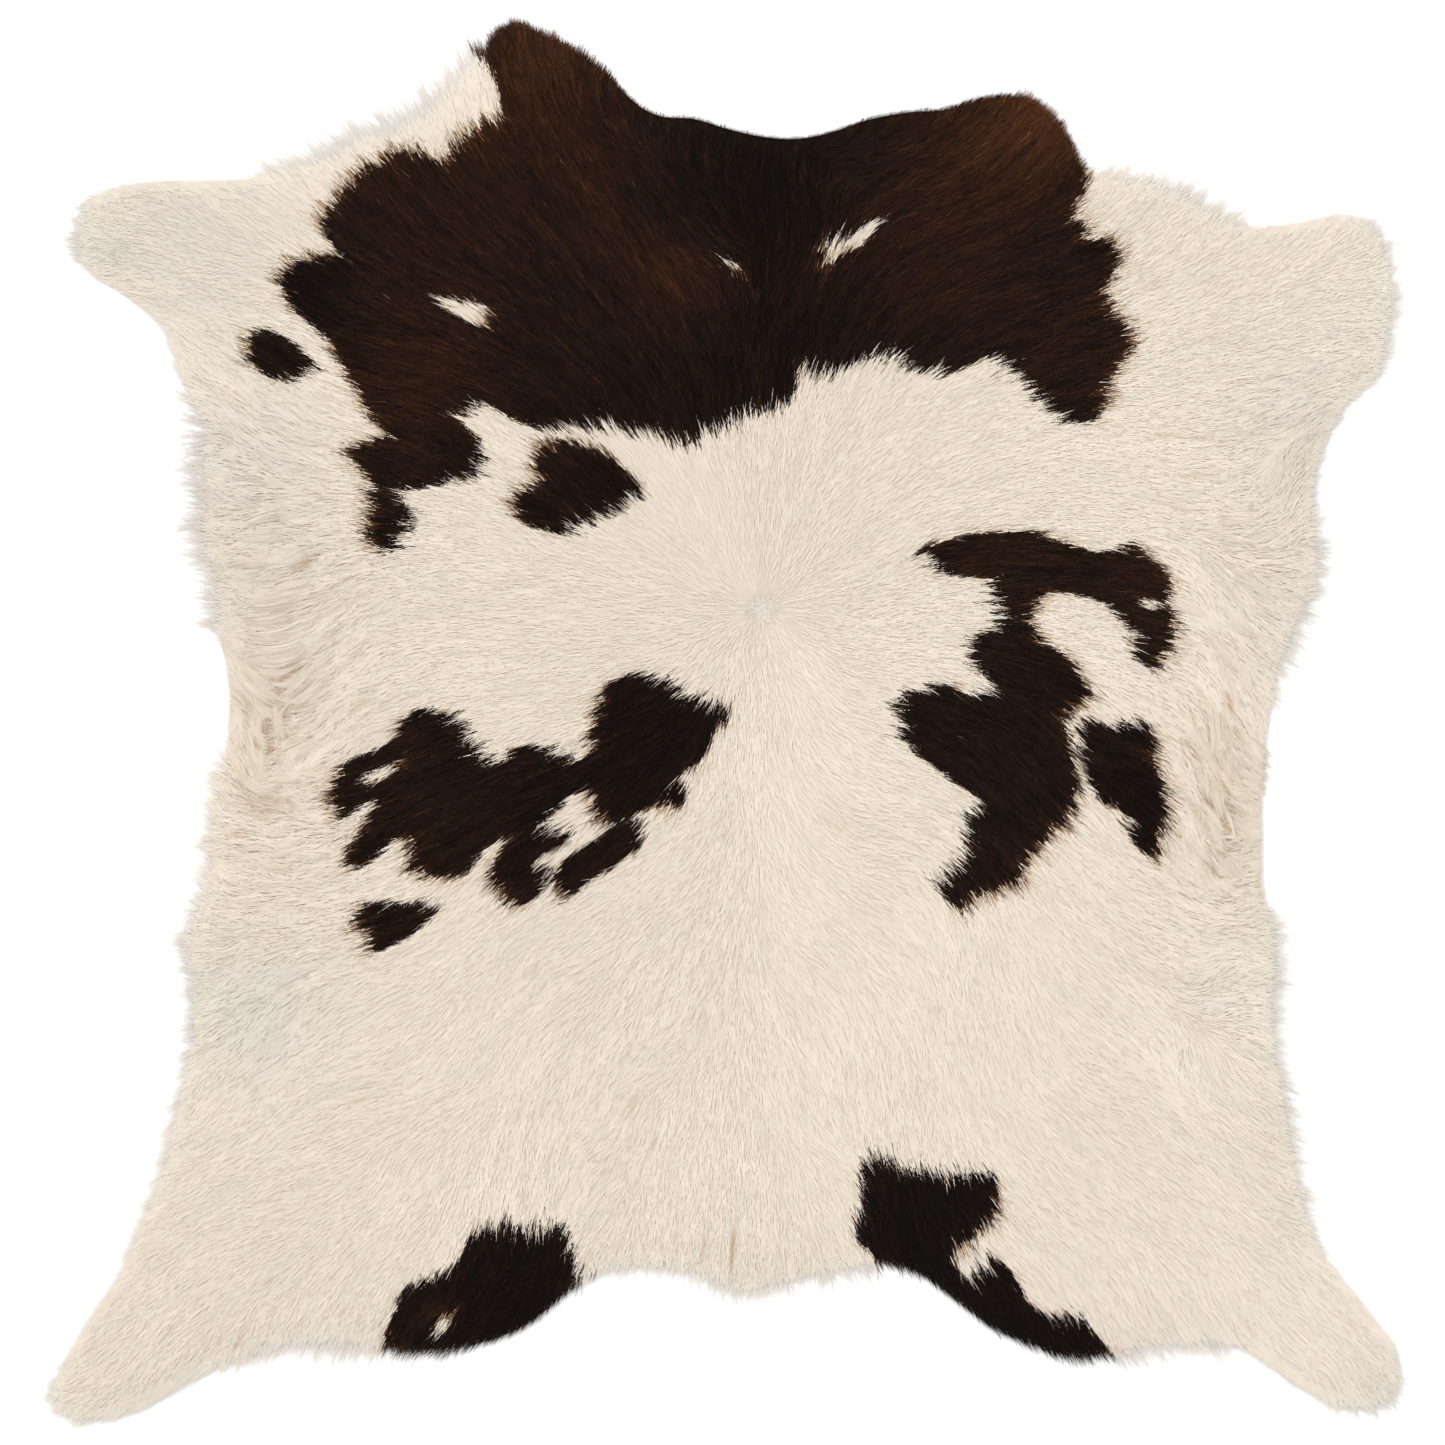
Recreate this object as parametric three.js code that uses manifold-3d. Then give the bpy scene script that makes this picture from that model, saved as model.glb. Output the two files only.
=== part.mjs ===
// A calfskin rug: one whole skin with its hair on, lying flat with the hair side up.
// Millimetres, +Z up, +Y towards the neck. The skin's underside lies on z = 0.
// The solid is a thin lumpy slab with the outline of the coat, and flat locks of longer hair at its rim.
import * as THREE from "three";
import { mergeVertices } from "three/addons/utils/BufferGeometryUtils.js";
import Module from "manifold-3d";

const rimThickness = 2.8; // skin and short hair at the very edge
const coatRise = 3.2; // how much thicker skin and coat are well inside the edge
const rimSoftness = 16; // distance over which the coat rises from the edge
const gridStep = 25; // spacing of the points of the lumpy top
const splineSteps = 2; // straight pieces between two points of the outline

const lockPitch = 12; // spacing of the locks along the rim
const lockWidth = 9.6; // at its root, on the rim
const lockShoulder = 0.36; // half width where a lock begins to narrow, as a share of the width at its root
const lockGap = 0.5; // least space between two locks
const mostLean = 0.9; // radians that a lock may turn away from straight out
const leastFringe = 5; // a stretch with shorter hair than this has no locks
const lockTipThickness = 0.8; // the top falls to this past the rim, over the ends of the locks
const blockDepth = 10; // how far the block goes below the floor before it is cut flat

// The rim, clockwise from the left of the neck: each stretch has the length of hair that stands past it, the
// hair's direction at its start and end (degrees from +X towards +Y) and its points.
const rim = [
  { part: "left lobe of the neck", fringe: 9, comb: [118, 62],
    points: [[-164, 455], [-157, 468], [-147, 475], [-137, 477], [-120, 469], [-100, 459], [-80, 445]] },
  { part: "cut edge of the neck", fringe: 2, comb: [80, 60],
    points: [[-68, 432], [-54, 419], [-40, 413], [-20, 412], [0, 406], [22, 400.5], [48, 398], [72, 402],
      [98, 411], [128, 416.5]] },
  { part: "right lobe of the neck", fringe: 9, comb: [60, 42],
    points: [[150, 418.5], [172, 425], [192, 428], [210, 425], [226, 413], [238, 396], [245, 381]] },
  { part: "right shoulder", fringe: 13, comb: [42, 34],
    points: [[253, 374], [270, 369], [290, 365], [310, 359], [325, 350], [337, 343]] },
  { part: "top of the right foreleg", fringe: 4, comb: [35, 45],
    points: [[352, 337.5], [372, 337], [392, 340], [408, 343.5], [424, 344]] },
  { part: "end of the right foreleg", fringe: 8, comb: [35, -12],
    points: [[438, 339], [448, 327], [454, 308], [454, 288], [452, 266], [448, 246], [441, 231]] },
  { part: "right armpit", fringe: 5, comb: [-15, -20],
    points: [[430, 222], [420, 211], [411, 193], [404, 173], [401, 156]] },
  { part: "right flank, long hair", fringe: 13, comb: [0, -38],
    points: [[401, 140], [403, 122], [403, 104], [398, 86], [390, 68], [382, 49], [376, 31]] },
  { part: "right flank, short hair", fringe: 2, comb: [-60, -50],
    points: [[373, 12], [369, -15], [367, -45], [367, -80], [367, -108]] },
  { part: "right haunch", fringe: 10, comb: [0, -22],
    points: [[370, -124], [374, -142], [375, -165], [374, -190], [374, -215], [378, -238], [382, -262],
      [386, -288], [391, -314], [397, -336]] },
  { part: "outside of the right hind leg", fringe: 5, comb: [-35, -42],
    points: [[405, -357], [416, -371], [429, -386], [441, -403], [452, -415]] },
  { part: "end of the right hind leg", fringe: 9, comb: [-30, -68],
    points: [[458, -429], [459, -445], [454, -458], [441, -465], [424, -465]] },
  { part: "inside of the right hind leg", fringe: 7, comb: [-60, -52],
    points: [[405, -459], [388, -449], [370, -437], [354, -425]] },
  { part: "rump, right", fringe: 12, comb: [-55, -62],
    points: [[338, -422], [315, -422], [292, -423], [272, -427], [250, -431], [228, -430], [205, -422],
      [183, -413]] },
  { part: "right of the tail", fringe: 7, comb: [-60, -78],
    points: [[165, -400], [148, -386], [131, -375], [113, -369], [94, -370], [72, -373], [54, -377]] },
  { part: "tail", fringe: 9, comb: [-84, -95],
    points: [[38, -381], [22, -384.5], [5, -383.5], [-9, -378]] },
  { part: "left of the tail", fringe: 6, comb: [-98, -118],
    points: [[-26, -372], [-48, -369.5], [-72, -370.5], [-90, -376], [-106, -390], [-122, -404],
      [-142, -416]] },
  { part: "rump, left", fringe: 12, comb: [-120, -112],
    points: [[-162, -423], [-185, -427], [-208, -428], [-232, -425], [-256, -422], [-280, -421],
      [-302, -423], [-324, -430]] },
  { part: "inside of the left hind leg", fringe: 8, comb: [-124, -132],
    points: [[-342, -437.5], [-360, -447], [-378, -457.5], [-397, -467]] },
  { part: "end of the left hind leg", fringe: 10, comb: [-128, -160],
    points: [[-415, -472.5], [-434, -473.5], [-449, -468], [-455, -455]] },
  { part: "outside of the left hind leg", fringe: 8, comb: [-150, -140],
    points: [[-450, -441], [-442, -424], [-431, -405], [-418, -386], [-406, -367]] },
  { part: "left haunch", fringe: 12, comb: [-142, -152],
    points: [[-398, -348], [-388, -326], [-379, -303], [-373, -279], [-369, -256], [-363, -232]] },
  { part: "left flank, lower", fringe: 9, comb: [-172, -198],
    points: [[-360, -208], [-360, -184], [-363, -163], [-364, -146], [-358, -131], [-352, -112], [-349, -88],
      [-347, -64], [-342, -38]] },
  { part: "left flank, short hair", fringe: 2, comb: [120, 130],
    points: [[-338, -18], [-335.5, 4], [-336, 26], [-337.5, 42]] },
  { part: "left flank, long hair", fringe: 15, comb: [188, 178],
    points: [[-342, 54], [-343, 76], [-344, 98], [-350, 114], [-353, 134], [-353, 158], [-352, 182],
      [-353, 203]] },
  { part: "left armpit", fringe: 6, comb: [170, 160],
    points: [[-360, 222], [-368, 233], [-373, 250]] },
  { part: "underside of the left foreleg", fringe: 2, comb: [170, 178],
    points: [[-381, 269], [-396, 282], [-412, 294], [-425, 301]] },
  { part: "end of the left foreleg", fringe: 8, comb: [182, 168],
    points: [[-434, 308], [-438, 322], [-437, 340], [-430, 355], [-416, 363]] },
  { part: "top of the left foreleg", fringe: 4, comb: [165, 158],
    points: [[-398, 367.5], [-376, 369], [-352, 369], [-330, 369.5]] },
  { part: "left shoulder", fringe: 16, comb: [150, 112],
    points: [[-308, 372], [-288, 377], [-268, 384], [-250, 395], [-230, 402], [-210, 411], [-193, 423],
      [-177, 439]] },
];

// Broad lumps of the coat: where the hair of two directions meets or parts, or the skin never lies quite flat.
const lumps = [
  { at: [-308, 15], radius: 42, rise: 1.3 }, // curls of the left flank
  { at: [338, -30], radius: 46, rise: 1.2 }, // ridge of the right flank
  { at: [336, -92], radius: 30, rise: 0.9 }, // curl below that ridge
  { at: [-312, -190], radius: 48, rise: -0.7 }, // hollow of the left whorl
  { at: [334, -195], radius: 46, rise: -0.6 }, // hollow of the right whorl
  { at: [29, 79], radius: 26, rise: -0.8 }, // parting on the back
  { at: [36, 330], radius: 60, rise: 0.7 }, // thick hair of the neck
  { at: [14, -340], radius: 55, rise: 0.9 }, // root of the tail
];

const wasm = await Module();
wasm.setup();

function solidFrom(geometry) {
  const bare = geometry.clone();
  bare.deleteAttribute("normal");
  bare.deleteAttribute("uv");
  const merged = mergeVertices(bare, 1e-4);
  return new wasm.Manifold(
    new wasm.Mesh({
      numProp: 3,
      vertProperties: merged.attributes.position.array,
      triVerts: new Uint32Array(merged.index.array),
    }),
  );
}

function geometryFrom(solid) {
  const mesh = solid.getMesh();
  const geometry = new THREE.BufferGeometry();
  geometry.setAttribute("position", new THREE.BufferAttribute(mesh.vertProperties, 3));
  geometry.setIndex(new THREE.BufferAttribute(mesh.triVerts, 1));
  geometry.computeVertexNormals();
  return geometry;
}

// A repeatable stream of numbers from 0 to 1, so that the locks are uneven in the same way each time.
function makeRandom(seed) {
  let state = seed;
  return () => {
    state = (state * 1664525 + 1013904223) % 4294967296;
    return state / 4294967296;
  };
}

// The rim as one closed curve, with the fringe and the hair's direction at each of its samples.
function rimSamples() {
  const places = [];
  for (const stretch of rim) {
    stretch.points.forEach(([x, y], index) => {
      const along = index / (stretch.points.length - 1);
      const comb = THREE.MathUtils.lerp(stretch.comb[0], stretch.comb[1], along);
      places.push({ at: new THREE.Vector3(x, y, 0), fringe: stretch.fringe, comb });
    });
  }
  const curve = new THREE.CatmullRomCurve3(places.map((place) => place.at), true, "centripetal");
  const samples = [];
  places.forEach((place, index) => {
    for (let step = 0; step < splineSteps; step += 1) {
      const at = curve.getPoint((index + step / splineSteps) / places.length);
      samples.push({ at: new THREE.Vector2(at.x, at.y), fringe: place.fringe, comb: place.comb });
    }
  });
  return samples;
}

// Distance from a point to the rim, above zero inside the hide and below zero outside it.
function depthInside(x, y, samples) {
  let least = Infinity;
  let inside = false;
  samples.forEach((sample, index) => {
    const from = sample.at;
    const to = samples[(index + 1) % samples.length].at;
    const runX = to.x - from.x;
    const runY = to.y - from.y;
    const along = ((x - from.x) * runX + (y - from.y) * runY) / (runX * runX + runY * runY);
    const held = THREE.MathUtils.clamp(along, 0, 1);
    least = Math.min(least, Math.hypot(x - from.x - held * runX, y - from.y - held * runY));
    const crosses = from.y > y !== to.y > y;
    if (crosses && x < from.x + ((y - from.y) / runY) * runX) inside = !inside;
  });
  return inside ? least : -least;
}

function swell(x, y) {
  const waves = 0.34 * Math.sin(x / 37 + y / 61) * Math.cos(y / 43 - x / 90) + 0.26 * Math.sin(x / 19 - y / 27);
  const mounds = lumps.reduce((sum, lump) => {
    const away = Math.hypot(x - lump.at[0], y - lump.at[1]) / lump.radius;
    return sum + lump.rise * Math.exp(-away * away);
  }, 0);
  return waves + mounds;
}

function topHeight(x, y, samples) {
  const depth = depthInside(x, y, samples);
  const rise = coatRise * Math.tanh(depth / rimSoftness);
  const fade = THREE.MathUtils.smoothstep(depth, 0, 40);
  return Math.max(lockTipThickness, rimThickness + rise + fade * swell(x, y));
}

// A block with the lumpy top, a little larger than the hide all round and a little below the floor.
function lumpyBlock(samples) {
  const box = new THREE.Box2().setFromPoints(samples.map((sample) => sample.at)).expandByScalar(gridStep);
  const columns = Math.ceil((box.max.x - box.min.x) / gridStep);
  const rows = Math.ceil((box.max.y - box.min.y) / gridStep);
  const stepX = (box.max.x - box.min.x) / columns;
  const stepY = (box.max.y - box.min.y) / rows;
  const positions = [];
  const faces = [];
  for (let row = 0; row <= rows; row += 1) {
    for (let column = 0; column <= columns; column += 1) {
      const x = box.min.x + (column + (row % 2) * 0.5) * stepX;
      const y = box.min.y + row * stepY;
      positions.push(x, y, topHeight(x, y, samples), x, y, -blockDepth);
    }
  }
  const topAt = (row, column) => 2 * (row * (columns + 1) + column);
  const addBoth = (a, b, c) => faces.push(a, b, c, a + 1, c + 1, b + 1);
  for (let row = 0; row < rows; row += 1) {
    for (let column = 0; column < columns; column += 1) {
      const [near, nearNext] = [topAt(row, column), topAt(row, column + 1)];
      const [far, farNext] = [topAt(row + 1, column), topAt(row + 1, column + 1)];
      if (row % 2) {
        addBoth(near, nearNext, farNext);
        addBoth(near, farNext, far);
      } else {
        addBoth(near, nearNext, far);
        addBoth(nearNext, farNext, far);
      }
    }
  }
  const addWall = (a, b) => faces.push(a, a + 1, b + 1, a, b + 1, b);
  for (let column = 0; column < columns; column += 1) {
    addWall(topAt(0, column), topAt(0, column + 1));
    addWall(topAt(rows, column + 1), topAt(rows, column));
  }
  for (let row = 0; row < rows; row += 1) {
    addWall(topAt(row, columns), topAt(row + 1, columns));
    addWall(topAt(row + 1, 0), topAt(row, 0));
  }
  const geometry = new THREE.BufferGeometry();
  geometry.setAttribute("position", new THREE.Float32BufferAttribute(positions, 3));
  geometry.setIndex(faces);
  return solidFrom(geometry);
}

// The rim measured out along its length: where each sample lies, and the place at any distance along it.
function measureRim(samples) {
  const starts = [0];
  samples.forEach((sample, index) => {
    const next = samples[(index + 1) % samples.length];
    starts.push(starts[index] + sample.at.distanceTo(next.at));
  });
  const length = starts.pop();
  const placeAt = (distance) => {
    const index = starts.findLastIndex((start) => start <= distance);
    const sample = samples[index];
    const next = samples[(index + 1) % samples.length];
    const run = new THREE.Vector2().subVectors(next.at, sample.at);
    const at = sample.at.clone().addScaledVector(run, (distance - starts[index]) / run.length());
    return { at, outward: Math.atan2(run.x, -run.y), fringe: sample.fringe, comb: sample.comb };
  };
  return { starts, length, placeAt };
}

// One lock of four corners: two on the rim, a shoulder on its outer bend and its tip.
function makeLock(distance, measured, random) {
  const place = measured.placeAt(distance);
  const comb = THREE.MathUtils.degToRad(place.comb);
  const turn = Math.atan2(Math.sin(comb - place.outward), Math.cos(comb - place.outward));
  const lean = THREE.MathUtils.clamp(turn, -mostLean, mostLean) + (random() - 0.5) * 0.16;
  const reach = (place.fringe * (0.82 + 0.42 * random())) / Math.sqrt(Math.cos(lean));
  const angle = place.outward + lean;
  const forward = new THREE.Vector2(Math.cos(angle), Math.sin(angle));
  const bendSide = lean > 0 ? -1 : 1;
  const side = new THREE.Vector2(-forward.y, forward.x).multiplyScalar(bendSide * lockShoulder * lockWidth);
  const shoulder = place.at.clone().addScaledVector(forward, reach * 0.55).add(side);
  const tip = place.at.clone().addScaledVector(forward, reach);
  const before = measured.placeAt(distance - lockWidth / 2).at;
  const after = measured.placeAt(distance + lockWidth / 2).at;
  const corners = bendSide > 0 ? [before, shoulder, tip, after] : [before, tip, shoulder, after];
  return { distance, root: place.at, tip, fringe: place.fringe, corners };
}

// True where a lock would touch one already placed, or where its tip comes back to the rim.
function crowds(lock, placed, samples) {
  if (depthInside(lock.tip.x, lock.tip.y, samples) > -0.45 * lock.fringe) return true;
  return placed.some((other) => {
    if (other.root.distanceTo(lock.root) > 60) return false;
    const shares = [0, 0.25, 0.5, 0.75, 1];
    const alongLock = (item, share) => item.root.clone().lerp(item.tip, share);
    const halfWidth = (share) => (lockWidth / 2) * (1 - 0.95 * share);
    return shares.some((mine) =>
      shares.some((theirs) => {
        const apart = alongLock(lock, mine).distanceTo(alongLock(other, theirs));
        return apart < halfWidth(mine) + halfWidth(theirs) + lockGap;
      }),
    );
  });
}

// The outline with its locks, as a list of corners: the rim's samples, but for those under a lock's root.
function outlineCorners(samples) {
  const random = makeRandom(7);
  const measured = measureRim(samples);
  const locks = [];
  for (let distance = lockPitch; distance < measured.length - lockPitch; distance += lockPitch) {
    if (measured.placeAt(distance).fringe < leastFringe) continue;
    const lock = makeLock(distance, measured, random);
    if (!crowds(lock, locks, samples)) locks.push(lock);
  }
  const clearOfLocks = (start) => locks.every((lock) => Math.abs(lock.distance - start) > lockWidth / 2 + 0.4);
  const rimCorners = samples
    .map((sample, index) => ({ distance: measured.starts[index], corners: [sample.at] }))
    .filter((corner) => clearOfLocks(corner.distance));
  const inOrder = [...rimCorners, ...locks].sort((one, other) => one.distance - other.distance);
  return inOrder.flatMap((entry) => entry.corners);
}

// The outline as an upright solid from the floor to above the coat: it cuts the block to shape and flat below.
function outlineSolid(corners) {
  const shape = new THREE.Shape([...corners].reverse());
  return solidFrom(new THREE.ExtrudeGeometry(shape, { depth: 30, bevelEnabled: false, steps: 1 }));
}

function makeHide() {
  const samples = rimSamples();
  const solid = lumpyBlock(samples).intersect(outlineSolid(outlineCorners(samples)));
  const hair = new THREE.MeshStandardMaterial({ color: 0xe6d8c6, roughness: 0.78, metalness: 0 });
  const hide = new THREE.Mesh(geometryFrom(solid), hair);
  hide.name = "hide";
  return hide;
}

// The middle of the hide's underside is the origin.
const rug = new THREE.Group();
const hide = makeHide();
hide.geometry.computeBoundingBox();
const middle = hide.geometry.boundingBox.getCenter(new THREE.Vector3());
hide.position.set(-middle.x, -middle.y, 0);
rug.add(hide);

export default rug;
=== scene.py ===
# A calfskin rug lying flat, hair side up: the skin, the short undercoat on it and the hair of the coat.
# Shapes are worked out in the drawing's millimetres, as the solid's are, and go to the frame's metres last.
import math

import bmesh
import bpy
import numpy as np
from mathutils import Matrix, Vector


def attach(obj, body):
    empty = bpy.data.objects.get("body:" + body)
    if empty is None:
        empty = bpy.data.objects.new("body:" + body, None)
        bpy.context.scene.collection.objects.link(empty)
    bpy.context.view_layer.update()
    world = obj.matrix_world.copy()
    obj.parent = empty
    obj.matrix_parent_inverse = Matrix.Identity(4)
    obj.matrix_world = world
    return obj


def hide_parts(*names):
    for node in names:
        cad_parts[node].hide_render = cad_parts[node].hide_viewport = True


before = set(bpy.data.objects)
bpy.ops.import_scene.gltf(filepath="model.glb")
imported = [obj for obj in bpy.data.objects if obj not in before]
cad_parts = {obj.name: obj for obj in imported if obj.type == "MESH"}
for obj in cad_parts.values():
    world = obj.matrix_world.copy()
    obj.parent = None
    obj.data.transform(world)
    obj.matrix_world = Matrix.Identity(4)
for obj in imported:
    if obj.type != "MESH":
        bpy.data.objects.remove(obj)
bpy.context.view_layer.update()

middle = (1.115, 1.931)  # the drawing's point that lies at the frame's origin
toMetres = 0.001


view = {
    "height": 8.0,  # m above the floor, straight over the rug
    "across": 0.9826,  # m of floor that the square picture shows
    "sensor": 36.0,  # mm
}

studio = {
    "worldStrength": 0.93,
    "lampPower": 107.0,  # W
    "lampSize": 2.6,  # m
    "lampPlace": (-1.5, 2.6, 3.4),  # m, behind the neck and a little to the left
    "floorSize": 14.0,  # m
    "floorDrop": 0.0004,  # m below the rug, so that nothing flickers
}


def setCamera():
    lens = view["sensor"] * view["height"] / view["across"]
    data = bpy.data.cameras.new("camera")
    data.type = "PERSP"
    data.sensor_width = view["sensor"]
    data.lens = lens
    data.clip_end = 100.0
    camera = bpy.data.objects.new("camera", data)
    camera.location = (-middle[0] * toMetres, -middle[1] * toMetres, view["height"])
    bpy.context.collection.objects.link(camera)
    bpy.context.scene.camera = camera
    bpy.context.scene.view_settings.view_transform = "Standard"
    print("camera set, lens", round(lens, 1), "mm")


class Wire:  # one output socket, which can be reckoned with as a number
    def __init__(self, finish, socket):
        self.finish = finish
        self.socket = socket

    def math(self, operation, first, second):
        return self.finish.node("ShaderNodeMath", {"operation": operation}, {0: first, 1: second})

    def __add__(self, other):
        return self.math("ADD", self, other)

    def __radd__(self, other):
        return self.math("ADD", other, self)

    def __sub__(self, other):
        return self.math("SUBTRACT", self, other)

    def __mul__(self, other):
        return self.math("MULTIPLY", self, other)

    def __rmul__(self, other):
        return self.math("MULTIPLY", other, self)

    def __pow__(self, other):
        return self.math("POWER", self, other)


class Finish:  # a material that ends in one Principled shader
    def __init__(self, name, constants):
        self.material = bpy.data.materials.new(name)
        self.material.use_nodes = True
        self.tree = self.material.node_tree
        self.shader = self.tree.nodes["Principled BSDF"]
        for socket, value in constants.items():
            self.shader.inputs[socket].default_value = value

    def node(self, kind, settings=None, sockets=None, output=0):
        made = self.tree.nodes.new(kind)
        for name, value in (settings or {}).items():
            if name == "stops":
                self.setStops(made.color_ramp, value)
            else:
                setattr(made, name, value)
        for key, value in (sockets or {}).items():
            if isinstance(value, Wire):
                self.tree.links.new(value.socket, made.inputs[key])
            else:
                made.inputs[key].default_value = value
        return Wire(self, made.outputs[output])

    def setStops(self, ramp, stops):
        while len(ramp.elements) < len(stops):
            ramp.elements.new(0.5)
        for element, (position, colour) in zip(ramp.elements, stops):
            element.position = position
            element.color = linear(colour)

    def feed(self, socket, wire):
        self.tree.links.new(wire.socket, self.shader.inputs[socket])


def linear(colour):  # from the 0 to 255 of a paint chart to the light that Blender reckons in
    shares = [value / 255 for value in colour]
    return [((s + 0.055) / 1.055) ** 2.4 if s > 0.04045 else s / 12.92 for s in shares] + [1.0]


# Clockwise from the left of the neck: name, length of hair past the rim, the hair's direction at the start
# and end of the stretch (degrees from +X towards +Y) and its points.
rim = [
    ("left lobe of the neck", 6, (118, 62),
     [(-164, 455), (-157, 468), (-147, 475), (-137, 477), (-120, 469), (-100, 459), (-80, 445)]),
    ("cut edge of the neck", 2, (80, 60),
     [(-68, 432), (-54, 419), (-40, 413), (-20, 412), (0, 406), (22, 400.5), (48, 398), (72, 402), (98, 411),
      (128, 416.5)]),
    ("right lobe of the neck", 6, (60, 42),
     [(150, 418.5), (172, 425), (192, 428), (210, 425), (226, 413), (238, 396), (245, 381)]),
    ("right shoulder", 13, (42, 34),
     [(253, 374), (270, 369), (290, 365), (310, 359), (325, 350), (337, 343)]),
    ("top of the right foreleg", 4, (35, 45),
     [(352, 337.5), (372, 337), (392, 340), (408, 343.5), (424, 344)]),
    ("end of the right foreleg", 8, (35, -12),
     [(438, 339), (448, 327), (454, 308), (454, 288), (452, 266), (448, 246), (441, 231)]),
    ("right armpit", 5, (-15, -20),
     [(430, 222), (420, 211), (411, 193), (404, 173), (401, 156)]),
    ("right flank, long hair", 11, (0, -38),
     [(401, 140), (403, 122), (403, 104), (398, 86), (390, 68), (382, 49), (376, 31)]),
    ("right flank, short hair", 2, (-60, -50),
     [(373, 12), (369, -15), (367, -45), (367, -80), (367, -108)]),
    ("right haunch", 10, (0, -22),
     [(370, -124), (374, -142), (375, -165), (374, -190), (374, -215), (378, -238), (382, -262), (386, -288),
      (391, -314), (397, -336)]),
    ("outside of the right hind leg", 7, (-35, -42),
     [(405, -357), (416, -371), (429, -386), (441, -403), (452, -415)]),
    ("end of the right hind leg", 7, (-30, -68),
     [(458, -429), (459, -445), (454, -458), (441, -465), (424, -465)]),
    ("inside of the right hind leg", 9, (-60, -52),
     [(405, -459), (388, -449), (370, -437), (354, -425)]),
    ("rump, right", 12, (-55, -62),
     [(338, -422), (315, -422), (292, -423), (272, -427), (250, -431), (228, -430), (205, -422),
      (183, -413)]),
    ("right of the tail", 9, (-60, -78),
     [(165, -400), (148, -386), (131, -375), (113, -369), (94, -370), (72, -373), (54, -377)]),
    ("tail", 9, (-84, -95),
     [(38, -381), (22, -384.5), (5, -383.5), (-9, -378)]),
    ("left of the tail", 8, (-98, -118),
     [(-26, -372), (-48, -369.5), (-72, -370.5), (-90, -376), (-106, -390), (-122, -404), (-142, -416)]),
    ("rump, left", 12, (-120, -112),
     [(-162, -423), (-185, -427), (-208, -428), (-232, -425), (-256, -422), (-280, -421), (-302, -423),
      (-324, -430)]),
    ("inside of the left hind leg", 8, (-124, -132),
     [(-342, -437.5), (-360, -447), (-378, -457.5), (-397, -467)]),
    ("end of the left hind leg", 8, (-128, -160),
     [(-415, -472.5), (-434, -473.5), (-449, -468), (-455, -455)]),
    ("outside of the left hind leg", 8, (-150, -140),
     [(-450, -441), (-442, -424), (-431, -405), (-418, -386), (-406, -367)]),
    ("left haunch", 12, (-142, -152),
     [(-398, -348), (-388, -326), (-379, -303), (-373, -279), (-369, -256), (-363, -232)]),
    ("left flank, lower", 9, (-172, -198),
     [(-360, -208), (-360, -184), (-363, -163), (-364, -146), (-358, -131), (-352, -112), (-349, -88),
      (-347, -64), (-342, -38)]),
    ("left flank, short hair", 2, (120, 130),
     [(-338, -18), (-335.5, 4), (-336, 26), (-337.5, 42)]),
    ("left flank, long hair", 15, (188, 178),
     [(-342, 54), (-343, 76), (-344, 98), (-350, 114), (-353, 134), (-353, 158), (-352, 182), (-353, 203)]),
    ("left armpit", 6, (170, 160),
     [(-360, 222), (-368, 233), (-373, 250)]),
    ("underside of the left foreleg", 2, (170, 178),
     [(-381, 269), (-396, 282), (-412, 294), (-425, 301)]),
    ("end of the left foreleg", 8, (182, 168),
     [(-434, 308), (-438, 322), (-437, 340), (-430, 355), (-416, 363)]),
    ("top of the left foreleg", 4, (165, 158),
     [(-398, 367.5), (-376, 369), (-352, 369), (-330, 369.5)]),
    ("left shoulder", 16, (150, 112),
     [(-308, 372), (-288, 377), (-268, 384), (-250, 395), (-230, 402), (-210, 411), (-193, 423),
      (-177, 439)]),
]

rimSteps = 5  # straight pieces between two points of the outline
shortHair, longHair = 2, 8  # mm past the rim that count as short and as long


def closedCurve(corners, steps):  # a smooth closed curve through the corners
    before, start, end, after = (np.roll(corners, turn, axis=0) for turn in (1, 0, -1, -2))

    def knot(one, other):
        return np.sqrt(np.linalg.norm(other - one, axis=1))[:, None]

    first, second, third = knot(before, start), knot(start, end), knot(end, after)
    leave = ((start - before) / first - (end - before) / (first + second) + (end - start) / second) * second
    arrive = ((end - start) / second - (after - start) / (second + third) + (after - end) / third) * second
    pieces = []
    for share in np.arange(steps) / steps:
        bend = 2 * (start - end) + leave + arrive
        lean = 3 * (end - start) - 2 * leave - arrive
        pieces.append(start + leave * share + lean * share**2 + bend * share**3)
    return np.stack(pieces, axis=1).reshape(-1, 2)


def rimSamples():  # the curve with the fringe and the hair's direction at each of its points
    corners, fringes, combs = [], [], []
    for name, fringe, (startComb, endComb), points in rim:
        shares = np.linspace(0, 1, len(points))
        corners += points
        fringes += [fringe] * len(points)
        combs += list(startComb + (endComb - startComb) * shares)
    curve = closedCurve(np.array(corners, float), rimSteps)
    return curve, np.repeat(fringes, rimSteps), np.radians(np.repeat(combs, rimSteps))


def setInward(short, long):  # the outline moved inwards: by little where the hair past it is short
    run = np.roll(rimCurve, -1, axis=0) - np.roll(rimCurve, 1, axis=0)
    inward = np.stack([run[:, 1], -run[:, 0]], axis=1) / np.linalg.norm(run, axis=1)[:, None]
    share = np.clip((rimFringe - shortHair) / (longHair - shortHair), 0, 1)
    for _ in range(12):  # evened out along the rim
        share = (np.roll(share, 1) + share + np.roll(share, -1)) / 3
    return rimCurve + inward * (short + (long - short) * share)[:, None]


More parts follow.
